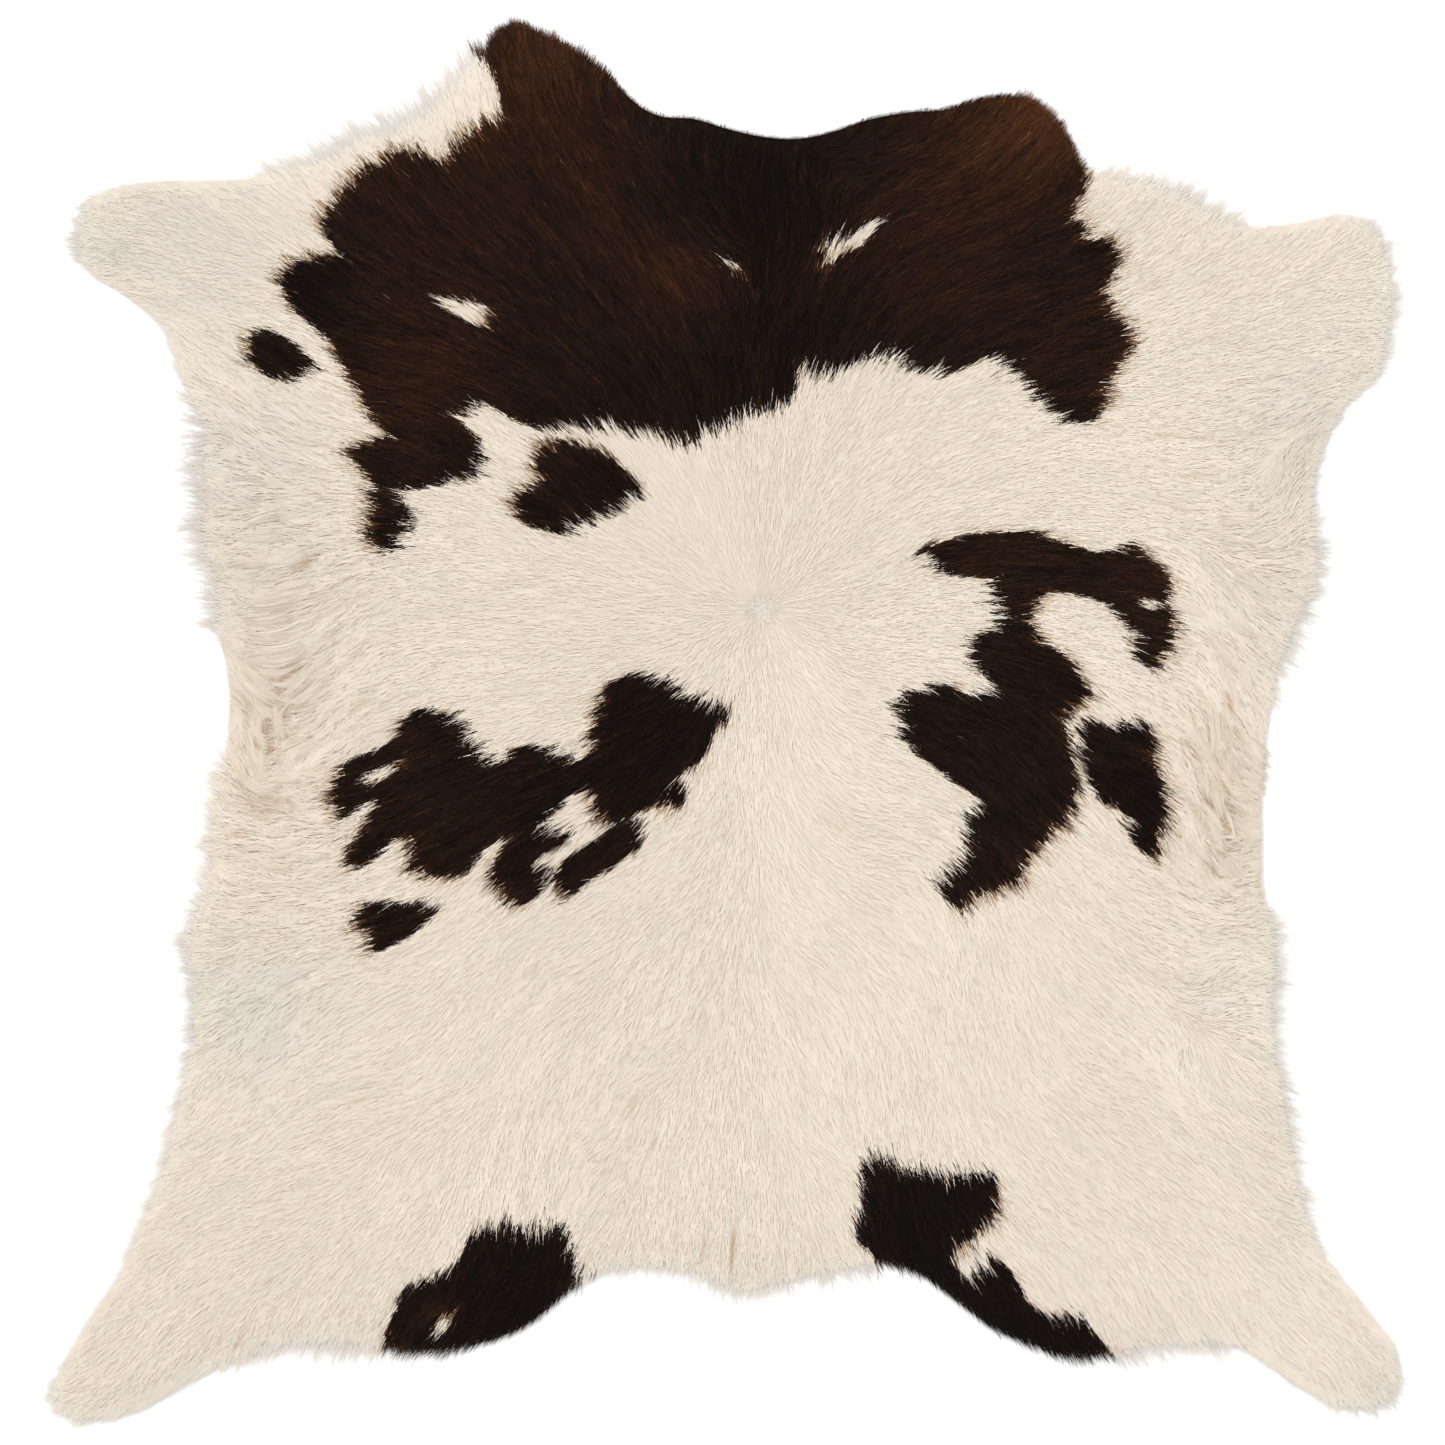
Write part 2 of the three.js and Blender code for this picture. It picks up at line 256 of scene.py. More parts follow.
def depthInside(x, y, corners):  # distance to a closed line of corners, above zero inside it
    least = np.full(x.shape, 1e9)
    inside = np.zeros(x.shape, bool)
    for (startX, startY), (endX, endY) in zip(corners, np.roll(corners, -1, axis=0)):
        runX, runY = endX - startX, endY - startY
        along = np.clip(((x - startX) * runX + (y - startY) * runY) / (runX**2 + runY**2 + 1e-9), 0, 1)
        least = np.minimum(least, (x - startX - along * runX) ** 2 + (y - startY - along * runY) ** 2)
        if startY != endY:
            crosses = ((startY > y) != (endY > y)) & (x < startX + (y - startY) / runY * runX)
            inside ^= crosses
    return np.where(inside, 1, -1) * np.sqrt(least)


fieldReach = 520.0  # mm from the drawing's origin to each side


class Field:  # numbers on a square grid, read smoothly between its points
    def __init__(self, pitch):
        self.pitch = pitch
        self.count = int(round(2 * fieldReach / pitch)) + 1
        ticks = np.arange(self.count) * pitch - fieldReach
        self.x, self.y = np.meshgrid(ticks, ticks)
        self.values = np.zeros(self.x.shape)

    def fill(self, values):
        self.values = values
        return self

    def at(self, x, y):
        column = np.clip((x + fieldReach) / self.pitch, 0, self.count - 1.001)
        row = np.clip((y + fieldReach) / self.pitch, 0, self.count - 1.001)
        left, low = column.astype(int), row.astype(int)
        across, up = column - left, row - low
        lower = self.values[low, left] * (1 - across) + self.values[low, left + 1] * across
        upper = self.values[low + 1, left] * (1 - across) + self.values[low + 1, left + 1] * across
        return lower * (1 - up) + upper * up


def windowOf(field, corners, margin):  # the part of a field that lies about some corners
    low, high = corners.min(axis=0) - margin, corners.max(axis=0) + margin
    first = np.clip(((low + fieldReach) / field.pitch).astype(int), 0, field.count - 1)
    last = np.clip(((high + fieldReach) / field.pitch).astype(int) + 1, 1, field.count)
    return slice(first[1], last[1]), slice(first[0], last[0])


def wander(pitch, seed):  # smooth noise from -1 to 1, with swells about as wide as the pitch
    field = Field(pitch)
    return field.fill(np.random.default_rng(seed).uniform(-1, 1, (field.count, field.count)))


rimCurve, rimFringe, rimComb = rimSamples()
depthField = Field(4.0)
depthField.fill(depthInside(depthField.x, depthField.y, rimCurve))
print("outline drawn,", len(rimCurve), "points")


# Corners of the dark patches. Where one runs out over the rim, its corners lie past the outline.
darkPatches = {
    "neck": [
        (-178, 500), (-177, 470), (-171, 457), (-163, 452), (-157, 446), (-153, 437), (-151, 424),
        (-148, 413), (-160, 408), (-170, 400), (-180, 393), (-190, 380), (-202, 385), (-216, 388),
        (-224, 387), (-235, 381), (-245, 376), (-253, 368), (-261, 360), (-268, 350), (-273, 341),
        (-268, 330), (-262, 322), (-258, 318), (-270, 316), (-290, 313), (-296, 308), (-299, 299),
        (-297, 290), (-291, 282), (-283, 275), (-268, 262), (-260, 248), (-257, 240), (-247, 223),
        (-243, 215), (-236, 208), (-230, 200), (-222, 188), (-232, 192), (-245, 188), (-254, 185),
        (-249, 178), (-243, 171), (-238, 162), (-228, 159), (-215, 159), (-200, 161), (-178, 165),
        (-166, 169), (-162, 180), (-165, 188), (-170, 196), (-178, 203), (-190, 208), (-178, 210),
        (-170, 215), (-162, 219), (-155, 215), (-148, 211), (-140, 206), (-130, 202), (-120, 199),
        (-100, 200), (-90, 200), (-80, 199), (-60, 199), (-50, 198), (-42, 197), (-35, 193), (-25, 190),
        (-15, 193), (-8, 198), (0, 202), (10, 205), (17, 211), (27, 213), (37, 214), (45, 219), (50, 228),
        (50, 238), (50, 248), (55, 242), (65, 238), (75, 238), (85, 241), (92, 246), (101, 249), (111, 249),
        (119, 246), (126, 241), (136, 238), (150, 238), (160, 240), (170, 245), (178, 250), (185, 249),
        (193, 244), (201, 237), (208, 230), (217, 217), (224, 212), (233, 205), (245, 205), (255, 207),
        (257, 213), (259, 222), (262, 231), (267, 239), (273, 247), (278, 259), (275, 268), (268, 274),
        (262, 278), (266, 282), (262, 287), (256, 291), (258, 297), (262, 302), (266, 308), (267, 314),
        (268, 319), (265, 324), (260, 327), (251, 326), (242, 329), (247, 335), (243, 340), (235, 340),
        (237, 344), (240, 352), (244, 360), (248, 368), (246, 375), (243, 383), (245, 400), (260, 460),
        (60, 500),
    ],
    "left shoulder spot": [
        (-322, 262), (-315, 265), (-306, 265), (-298, 261), (-290, 256), (-283, 249), (-278, 244),
        (-280, 239), (-286, 236), (-294, 234), (-302, 234), (-310, 236), (-317, 242), (-322, 251),
    ],
    "small spot below the shoulder": [
        (-240, 157), (-230, 157), (-220, 153), (-214, 146), (-210, 140), (-213, 132), (-219, 125),
        (-224, 118), (-230, 115), (-236, 119), (-241, 126), (-241, 134), (-239, 145),
    ],
    "back spot below the neck": [
        (-120, 188), (-110, 191), (-100, 190), (-88, 185), (-78, 180), (-70, 174), (-64, 167), (-54, 160),
        (-57, 153), (-63, 148), (-73, 143), (-83, 141), (-91, 138), (-96, 135), (-100, 130), (-110, 129),
        (-120, 131), (-130, 134), (-138, 139), (-140, 147), (-139, 153), (-134, 156), (-127, 160),
        (-124, 168), (-128, 176), (-126, 182),
    ],
    "left side": [
        (-217, 0), (-210, 7), (-199, 9), (-189, 7), (-181, 3), (-177, -4), (-172, -10), (-168, -16),
        (-163, -24), (-157, -30), (-150, -29), (-145, -24), (-141, -18), (-133, -16), (-124, -16),
        (-115, -19), (-105, -23), (-98, -28), (-89, -22), (-88, -10), (-87, 0), (-84, 9), (-81, 18),
        (-77, 25), (-70, 29), (-63, 33), (-55, 32), (-45, 29), (-35, 26), (-28, 20), (-18, 16), (-9, 13),
        (6, 9), (-1, 0), (-7, -8), (-10, -18), (-17, -27), (-27, -32), (-33, -38), (-28, -43), (-25, -48),
        (-27, -55), (-32, -58), (-40, -56), (-48, -56), (-57, -60), (-65, -64), (-72, -68), (-80, -69),
        (-86, -58), (-90, -50), (-95, -44), (-101, -47), (-109, -55), (-117, -62), (-123, -64), (-118, -69),
        (-110, -72), (-103, -77), (-105, -80), (-113, -83), (-120, -86), (-126, -92), (-122, -98),
        (-118, -105), (-123, -114), (-129, -120), (-138, -124), (-146, -120), (-153, -113), (-158, -105),
        (-155, -98), (-152, -90), (-146, -80), (-153, -79), (-161, -84), (-168, -93), (-172, -100),
        (-180, -104), (-192, -104), (-205, -103), (-214, -100), (-212, -92), (-210, -84), (-214, -78),
        (-222, -77), (-228, -82), (-233, -90), (-240, -96), (-250, -97), (-256, -95), (-253, -86),
        (-247, -77), (-242, -68), (-236, -60), (-232, -53), (-240, -52), (-250, -58), (-260, -66),
        (-264, -60), (-265, -50), (-262, -38), (-257, -30), (-248, -24), (-238, -20), (-228, -16),
        (-220, -11),
    ],
    "tail of the left side": [
        (-59, -66), (-55, -72), (-54, -80), (-58, -86), (-66, -87), (-70, -93), (-75, -99), (-85, -102),
        (-92, -107), (-98, -113), (-104, -118), (-110, -113), (-115, -108), (-112, -102), (-107, -95),
        (-100, -89), (-92, -84), (-84, -80), (-78, -76), (-71, -70),
    ],
    "small spot below the left side": [
        (-240, -122), (-218, -123), (-205, -123), (-194, -124), (-198, -130), (-203, -136), (-210, -142),
        (-218, -148), (-228, -152), (-239, -155), (-238, -148), (-242, -142), (-248, -138), (-247, -131),
        (-245, -125),
    ],
    "right side": [
        (133, 115), (140, 121), (150, 121), (160, 125), (172, 128), (192, 128), (205, 129), (215, 127),
        (225, 123), (245, 117), (255, 114), (263, 116), (272, 118), (280, 121), (286, 115), (293, 108),
        (300, 102), (304, 95), (303, 85), (304, 75), (307, 64), (305, 55), (301, 48), (296, 41), (291, 37),
        (284, 41), (280, 46), (282, 54), (278, 61), (272, 68), (266, 75), (261, 81), (253, 84), (245, 87),
        (235, 90), (225, 90), (215, 85), (210, 80), (208, 70), (212, 60), (220, 52), (228, 48), (235, 43),
        (240, 36), (245, 28), (250, 20), (243, 15), (236, 8), (230, 1), (234, -8), (237, -18), (239, -28),
        (240, -40), (241, -50), (240, -58), (233, -66), (225, -74), (217, -82), (210, -90), (205, -97),
        (203, -107), (194, -112), (184, -115), (175, -116), (169, -121), (162, -127), (156, -123),
        (150, -116), (146, -109), (150, -102), (158, -98), (162, -92), (168, -86), (166, -78), (167, -71),
        (163, -63), (170, -58), (176, -56), (174, -50), (168, -46), (158, -40), (148, -32), (138, -25),
        (128, -17), (120, -7), (120, 3), (116, 12), (122, 18), (130, 20), (138, 23), (148, 26), (155, 25),
        (160, 20), (167, 17), (172, 20), (178, 20), (182, 28), (176, 34), (172, 42), (169, 50), (168, 57),
        (175, 60), (183, 63), (188, 68), (189, 73), (187, 79), (182, 85), (180, 90), (183, 95), (181, 99),
        (175, 100), (165, 100), (155, 100), (147, 104), (140, 109),
    ],
    "outer right side": [
        (241, 0), (249, 1), (258, -2), (266, -4), (275, 0), (283, 2), (289, -2), (291, -14), (293, -25),
        (296, -35), (299, -45), (301, -55), (301, -65), (298, -70), (295, -78), (295, -85), (291, -90),
        (285, -87), (279, -80), (275, -72), (277, -64), (273, -59), (266, -55), (260, -53), (254, -50),
        (251, -43), (247, -34), (244, -24), (244, -14),
    ],
    "left of the rump": [
        (-170, -348), (-160, -345), (-150, -342), (-130, -344), (-110, -342), (-105, -350), (-104, -360),
        (-103, -368), (-97, -377), (-88, -384), (-96, -400), (-115, -420), (-135, -440), (-160, -455),
        (-190, -460), (-215, -455), (-231, -442), (-230, -425), (-228, -417), (-225, -408), (-220, -398),
        (-220, -390), (-213, -384), (-203, -380), (-192, -377), (-182, -372), (-176, -364), (-174, -356),
    ],
    "right of the rump": [
        (96, -301), (104, -293), (113, -298), (122, -302), (135, -305), (150, -307), (168, -307), (182, -308),
        (187, -311), (187, -322), (186, -333), (181, -340), (175, -345), (170, -350), (162, -355),
        (158, -358), (157, -364), (157, -371), (163, -377), (170, -376), (176, -371), (184, -366),
        (192, -370), (198, -377), (203, -388), (208, -397), (217, -401), (227, -405), (243, -403),
        (248, -411), (254, -418), (262, -426), (268, -450), (240, -465), (205, -455), (180, -440),
        (150, -420), (125, -400), (112, -385), (107, -368), (101, -359), (94, -353), (89, -346), (92, -340),
        (94, -330), (95, -316),
    ],
}

paleSpots = {  # pale hair inside the dark patches
    "left of the neck": [
        (-197, 291), (-188, 289), (-176, 288), (-164, 286), (-157, 282), (-159, 275), (-162, 269),
        (-165, 266), (-174, 271), (-184, 277), (-192, 283),
    ],
    "right of the neck": [
        (64, 325), (74, 327), (84, 330), (94, 336), (107, 346), (106, 336), (100, 327), (91, 320), (81, 317),
        (71, 312), (62, 311), (70, 318),
    ],
    "middle of the neck": [(-4, 317), (4, 316), (12, 312), (14, 306), (6, 306)],
    "inlet of the left side": [(-247, -36), (-234, -30), (-220, -25), (-221, -33), (-232, -41), (-244, -43)],
    "top of the right side": [(281, 84), (290, 86), (298, 83), (294, 77), (286, 75), (280, 79)],
    "left of the rump": [(-195, -404), (-188, -402), (-181, -404), (-185, -412), (-192, -417), (-195, -411)],
}

darkReach = 40.0  # mm: distances to a patch are kept up to this
patchSwell = 1.7  # mm that the dark hair reaches past the outlines above


def drawPatches():  # distance inside the nearest dark patch, below zero on pale hair
    field = Field(2.0)
    values = np.full(field.x.shape, -darkReach)
    for points in darkPatches.values():
        corners = np.array(points, float)
        area = windowOf(field, corners, darkReach)
        values[area] = np.maximum(values[area], depthInside(field.x[area], field.y[area], corners))
    for points in paleSpots.values():
        corners = np.array(points, float)
        area = windowOf(field, corners, darkReach)
        values[area] = np.minimum(values[area], -depthInside(field.x[area], field.y[area], corners))
    return field.fill(values + patchSwell)


darkField = drawPatches()
print("patches drawn,", len(darkPatches), "dark and", len(paleSpots), "pale")


# x, y and the direction that the hair points in there, degrees from +X towards +Y.
combs = [
    (30, 160, 90), (-100, 380, 123), (-240, 390, 130), (-320, 200, 145), (-330, 140, 180), (-300, 130, 190),
    (-280, 100, 200), (-250, 85, 205), (-250, 65, 218), (-290, 45, 200), (-325, 60, 160), (-305, 28, 180),
    (-320, 0, 110), (-330, -15, 105), (-260, 20, 218), (-260, 0, 212), (-200, 20, 198), (-180, 110, 178),
    (-180, 75, 179), (-320, -30, 108), (-290, -20, 235), (-290, -40, 186), (-285, -65, 182),
    (-310, -75, 172), (-320, -88, 165), (-300, -105, 180), (-340, -100, 150), (-300, -130, 183),
    (-345, -125, 167), (-350, -145, 180), (-318, -165, 220), (-340, -215, 215), (-300, -215, 232),
    (-220, -165, 200), (-180, -170, 218), (-200, -200, 216), (-170, -200, 238), (-240, -75, 205),
    (-180, -60, 207), (-180, -80, 210), (-220, -130, 195), (-190, -10, 203), (-170, -20, 207), (29, 0, 270),
    (400, 60, 330), (370, 0, 290), (-50, 75, 178), (-100, 75, 181), (-50, 100, 165), (-50, 130, 150),
    (-30, 130, 135), (0, 130, 112), (28, 130, 90), (50, 130, 73), (75, 150, 50), (60, 30, 305),
    (28, 0, 270), (10, 0, 262), (-20, 20, 215), (-60, 15, 205), (-50, -10, 210), (-50, -40, 225),
    (-110, -30, 200), (-130, -50, 205), (-90, 160, 140), (-75, 145, 150), (-60, 160, 127), (-130, 140, 162),
    (-150, 200, 150), (-60, 195, 121), (-30, 190, 112), (0, 190, 104), (-150, 100, 175), (-150, 50, 182),
    (-150, 20, 190), (-100, 20, 185), (-230, 175, 165), (-230, 140, 175), (-200, 200, 155),
    (-140, -110, 225), (280, 60, 348), (180, -60, 315), (-400, 340, 167), (-430, 320, 172),
    (-430, 340, 172), (-400, 320, 168), (-400, 300, 170), (-420, 305, 178), (-380, 280, 158),
    (-370, 260, 150), (-350, 330, 155), (-350, 350, 150), (-300, 340, 143), (-330, 360, 155),
    (-350, 300, 168), (-320, 300, 172), (-300, 280, 168), (-330, 260, 160), (-340, 245, 150),
    (-360, 250, 140), (-350, 235, 133), (-330, 225, 150), (-300, 225, 152), (-280, 240, 160),
    (-270, 290, 150), (-250, 300, 145), (-250, 350, 133), (-240, 330, 140), (-220, 350, 130),
    (-230, 300, 150), (-230, 250, 165), (-280, 350, 138), (-180, 290, 157), (-200, 240, 165),
    (-215, 230, 170), (-150, 350, 130), (-100, 300, 128), (-100, 350, 125), (-50, 350, 125),
    (-50, 300, 123), (-20, 330, 128), (3, 315, 150), (0, 250, 112), (-50, 250, 125), (-100, 250, 140),
    (-150, 250, 150), (-130, 420, 115), (-110, 440, 112), (-140, 450, 96), (-70, 400, 127),
    (-150, 465, 112), (-160, 440, 100), (-180, 430, 98), (-210, 410, 115), (-200, 385, 120),
    (-150, 300, 140), (-180, 340, 137), (38, 370, 78), (46, 370, 103), (58, 355, 115), (75, 380, 5),
    (100, 385, 18), (120, 380, 25), (150, 370, 22), (150, 400, 35), (180, 400, 42), (200, 380, 42),
    (220, 390, 55), (230, 370, 60), (200, 420, 58), (180, 420, 50), (160, 330, 22), (120, 340, 25),
    (200, 330, 22), (225, 340, 27), (100, 300, 45), (75, 290, 62), (60, 280, 72), (50, 300, 66),
    (120, 280, 40), (150, 290, 27), (200, 290, 20), (240, 290, 15), (250, 320, 22), (80, 260, 60),
    (100, 270, 52), (60, 240, 74), (80, 240, 65), (100, 230, 52), (75, 220, 66), (60, 210, 76),
    (130, 240, 38), (160, 240, 28), (190, 245, 25), (210, 230, 22), (150, 200, 24), (120, 210, 38),
    (90, 200, 55), (200, 200, 13), (240, 210, 8), (240, 250, 7), (250, 190, 358), (30, 200, 86),
    (35, 215, 88), (47, 205, 80), (20, 215, 95), (260, 370, 45), (280, 375, 57), (300, 370, 60),
    (320, 355, 52), (290, 340, 40), (270, 350, 42), (300, 330, 35), (320, 330, 43), (340, 345, 45),
    (330, 320, 36), (350, 320, 35), (380, 320, 40), (400, 320, 42), (410, 330, 48), (420, 345, 60),
    (440, 330, 38), (430, 310, 12), (300, 300, 25), (340, 300, 28), (380, 300, 28), (420, 300, 8),
    (440, 290, 0), (300, 280, 20), (350, 280, 20), (400, 280, 12), (430, 280, 5), (300, 250, 18),
    (350, 250, 12), (400, 250, 10), (430, 255, 12), (300, 220, 8), (350, 225, 12), (400, 230, 18),
    (420, 238, 28), (300, 200, 5), (340, 200, 7), (370, 205, 18), (390, 210, 30), (402, 195, 58),
    (395, 180, 65), (385, 170, 75), (375, 160, 86), (300, 190, 352), (320, 180, 0), (350, 185, 8),
    (370, 190, 20), (300, 165, 352), (340, 170, 5), (300, 150, 350), (310, 145, 345), (330, 140, 8),
    (350, 140, 12), (260, 160, 356), (260, 190, 358), (395, 140, 80), (100, 190, 38), (100, 150, 40),
    (120, 120, 35), (100, 100, 28), (90, 70, 10), (120, 80, 12), (130, 60, 3), (100, 55, 2), (150, 170, 25),
    (150, 140, 22), (200, 180, 15), (200, 160, 12), (250, 170, 0), (250, 140, 355), (300, 130, 345),
    (300, 180, 350), (150, 80, 3), (150, 50, 0), (150, 110, 10), (200, 110, 0), (250, 105, 353),
    (280, 95, 340), (170, 90, 1), (190, 75, 0), (240, 60, 358), (260, 40, 345), (290, 20, 325),
    (310, 0, 305), (320, -20, 295), (325, 40, 300), (330, 90, 290), (320, 110, 315), (305, 60, 347),
    (110, -10, 345), (100, 20, 352), (90, 40, 355), (90, -30, 330), (110, -40, 335), (130, -40, 338),
    (150, 10, 345), (130, 12, 327), (160, 20, 330), (180, 25, 335), (200, 0, 320), (180, -20, 315),
    (200, -40, 305), (220, -20, 310), (240, 0, 322), (250, -10, 320), (270, 0, 325), (290, 0, 325),
    (270, -20, 350), (250, -45, 315), (295, -25, 335), (300, -45, 320), (110, -30, 340), (120, -60, 345),
    (110, -100, 335), (140, -80, 335), (145, -95, 308), (110, -150, 310), (130, -130, 305),
    (110, -200, 300), (150, -170, 285), (150, -130, 290), (180, -130, 292), (165, -150, 280),
    (200, -120, 305), (180, -160, 285), (200, -150, 300), (220, -150, 310), (250, -140, 325),
    (240, -110, 325), (220, -90, 320), (250, -80, 325), (270, -100, 335), (280, -120, 335),
    (300, -130, 340), (300, -160, 335), (320, -150, 345), (340, -140, 355), (360, -128, 15),
    (370, -120, 25), (200, -200, 290), (250, -180, 320), (280, -190, 320), (300, -200, 312),
    (260, -220, 320), (250, -230, 345), (220, -220, 300), (240, -240, 320), (170, -220, 275),
    (130, -230, 285), (150, -200, 280), (285, -245, 327), (310, -215, 255), (325, -200, 20),
    (322, -170, 60), (340, -170, 10), (370, -170, 5), (350, -200, 355), (360, -220, 340), (370, -240, 330),
    (330, -230, 290), (340, -250, 320), (300, -230, 300), (325, -10, 295), (315, -15, 300), (320, -40, 300),
    (320, -60, 290), (310, -80, 300), (325, -95, 288), (332, -107, 340), (345, -109, 10), (358, -103, 55),
    (340, -85, 30), (350, -75, 0), (355, -60, 330), (350, -45, 340), (350, -20, 330), (365, -80, 345),
    (355, -118, 35), (20, -50, 268), (50, -30, 300), (75, -30, 320), (100, -30, 345), (60, -50, 305),
    (75, -75, 318), (90, -60, 350), (110, -60, 355), (110, -90, 355), (90, -80, 350), (60, -90, 315),
    (50, -105, 303), (40, -75, 288), (100, -110, 340), (80, -115, 325), (60, -130, 315), (45, -120, 300),
    (100, -140, 325), (110, -165, 318), (85, -150, 314), (60, -152, 325), (45, -175, 308), (60, -182, 315),
    (78, -175, 312), (100, -185, 302), (90, -205, 285), (80, -230, 279), (97, -230, 276), (60, -205, 312),
    (45, -215, 306), (60, -232, 300), (35, -200, 285), (30, -240, 278), (50, -252, 290), (0, -200, 265),
    (-5, -240, 262), (10, -100, 253), (5, -130, 250), (-5, -150, 246), (-10, -60, 236), (-15, -90, 233),
    (-30, -80, 226), (-25, -120, 228), (-40, -100, 222), (-60, -105, 207), (-62, -122, 224),
    (-80, -130, 210), (-92, -122, 205), (-110, -140, 206), (-130, -140, 220), (-100, -160, 205),
    (-120, -170, 235), (-132, -165, 246), (-115, -182, 212), (-85, -165, 206), (-62, -150, 238),
    (-65, -170, 245), (-50, -182, 245), (-45, -150, 233), (-30, -180, 244), (-20, -160, 245),
    (-15, -200, 250), (-30, -215, 227), (-50, -205, 244), (-40, -232, 206), (-62, -222, 234),
    (-80, -215, 240), (-82, -240, 236), (-102, -200, 216), (-110, -217, 235), (-130, -200, 226),
    (-136, -230, 254), (-115, -240, 245), (-60, -250, 235), (-20, -250, 262), (-100, -252, 241),
    (-350, -250, 235), (-330, -260, 225), (-360, -290, 205), (-340, -300, 208), (-320, -270, 225),
    (-300, -260, 220), (-260, -252, 200), (-240, -245, 195), (-230, -262, 196), (-250, -280, 205),
    (-260, -300, 196), (-300, -300, 200), (-320, -310, 205), (-290, -320, 196), (-250, -320, 215),
    (-230, -320, 226), (-225, -300, 250), (-300, -340, 196), (-320, -352, 200), (-260, -350, 225),
    (-230, -350, 235), (-350, -330, 210), (-370, -320, 208), (-360, -350, 215), (-382, -350, 210),
    (-370, -372, 224), (-340, -372, 215), (-320, -382, 213), (-300, -370, 220), (-270, -382, 235),
    (-250, -380, 240), (-280, -400, 245), (-310, -400, 236), (-330, -412, 235), (-350, -400, 225),
    (-400, -380, 212), (-400, -402, 220), (-420, -402, 225), (-430, -420, 228), (-400, -430, 225),
    (-380, -420, 226), (-352, -430, 230), (-370, -442, 228), (-400, -452, 222), (-430, -442, 211),
    (-442, -456, 204), (-420, -465, 215), (-290, -412, 235), (-260, -410, 245), (-240, -400, 250),
    (-340, -420, 234), (-270, -365, 230), (-220, -262, 195), (-185, -255, 198), (-170, -265, 215),
    (-200, -280, 214), (-170, -290, 250), (-150, -272, 262), (-125, -265, 256), (-108, -258, 252),
    (-80, -255, 240), (-60, -262, 247), (-48, -275, 262), (-40, -258, 258), (-82, -275, 207),
    (-85, -292, 225), (-60, -288, 236), (-105, -290, 264), (-130, -290, 261), (-150, -310, 262),
    (-112, -312, 265), (-180, -310, 254), (-200, -300, 244), (-210, -330, 226), (-180, -332, 245),
    (-150, -335, 264), (-122, -335, 265), (-95, -320, 236), (-78, -310, 230), (-72, -332, 226),
    (-85, -346, 225), (-50, -302, 265), (-50, -330, 265), (-55, -352, 260), (-20, -300, 265),
    (-10, -280, 265), (-12, -330, 262), (-5, -352, 260), (10, -300, 275), (10, -330, 264), (5, -362, 267),
    (25, -350, 273), (-70, -366, 255), (-40, -365, 262), (-17, -362, 250), (20, -270, 272),
    (-200, -402, 236), (-150, -380, 235), (-122, -382, 240), (-170, -402, 240), (20, -318, 272),
    (40, -300, 280), (60, -285, 325), (75, -298, 322), (65, -310, 306), (50, -322, 285), (60, -332, 300),
    (77, -340, 300), (60, -350, 285), (40, -350, 276), (50, -366, 270), (80, -356, 300), (100, -270, 280),
    (88, -265, 290), (110, -286, 285), (122, -258, 276), (142, -262, 282), (132, -290, 285),
    (160, -272, 295), (180, -282, 305), (162, -250, 290), (200, -262, 308), (222, -270, 312),
    (240, -252, 322), (252, -245, 345), (200, -300, 310), (220, -302, 318), (252, -300, 315),
    (200, -332, 320), (212, -342, 325), (232, -330, 320), (220, -370, 318), (200, -360, 315),
    (250, -380, 312), (238, -392, 312), (260, -402, 300), (160, -362, 300), (180, -370, 310),
    (150, -330, 286), (122, -340, 280), (114, -320, 278), (170, -392, 305), (200, -410, 310),
    (230, -412, 306), (260, -420, 290), (262, -250, 350), (270, -272, 325), (300, -262, 318),
    (320, -275, 318), (332, -282, 313), (300, -300, 325), (350, -262, 325), (370, -272, 330),
    (360, -300, 325), (330, -300, 316), (262, -290, 320), (250, -330, 315), (272, -340, 318),
    (300, -330, 322), (342, -330, 306), (328, -318, 315), (370, -330, 330), (385, -320, 330),
    (368, -342, 329), (390, -342, 325), (350, -352, 315), (300, -350, 320), (300, -380, 306),
    (280, -370, 310), (262, -370, 312), (330, -380, 305), (320, -400, 300), (300, -412, 307),
    (272, -400, 300), (350, -390, 308), (380, -370, 320), (400, -370, 320), (370, -392, 310),
    (400, -400, 318), (420, -390, 318), (430, -412, 318), (388, -392, 315), (380, -422, 318),
    (410, -420, 316), (400, -442, 320), (430, -440, 311), (450, -430, 310), (430, -455, 300),
    (450, -455, 300), (360, -425, 312), (330, -412, 304),
]

# The hair turns about these: radius of their hold and how the hair lies to the ray from the middle.
whorls = [
    {"at": (28, 77), "radius": 42, "turn": 0},
]

combHold = 10.0  # mm: nearer than this, one reading of the lie doesn't outweigh its neighbours
rimHold = 22.0  # mm that the rim's own lie reaches in


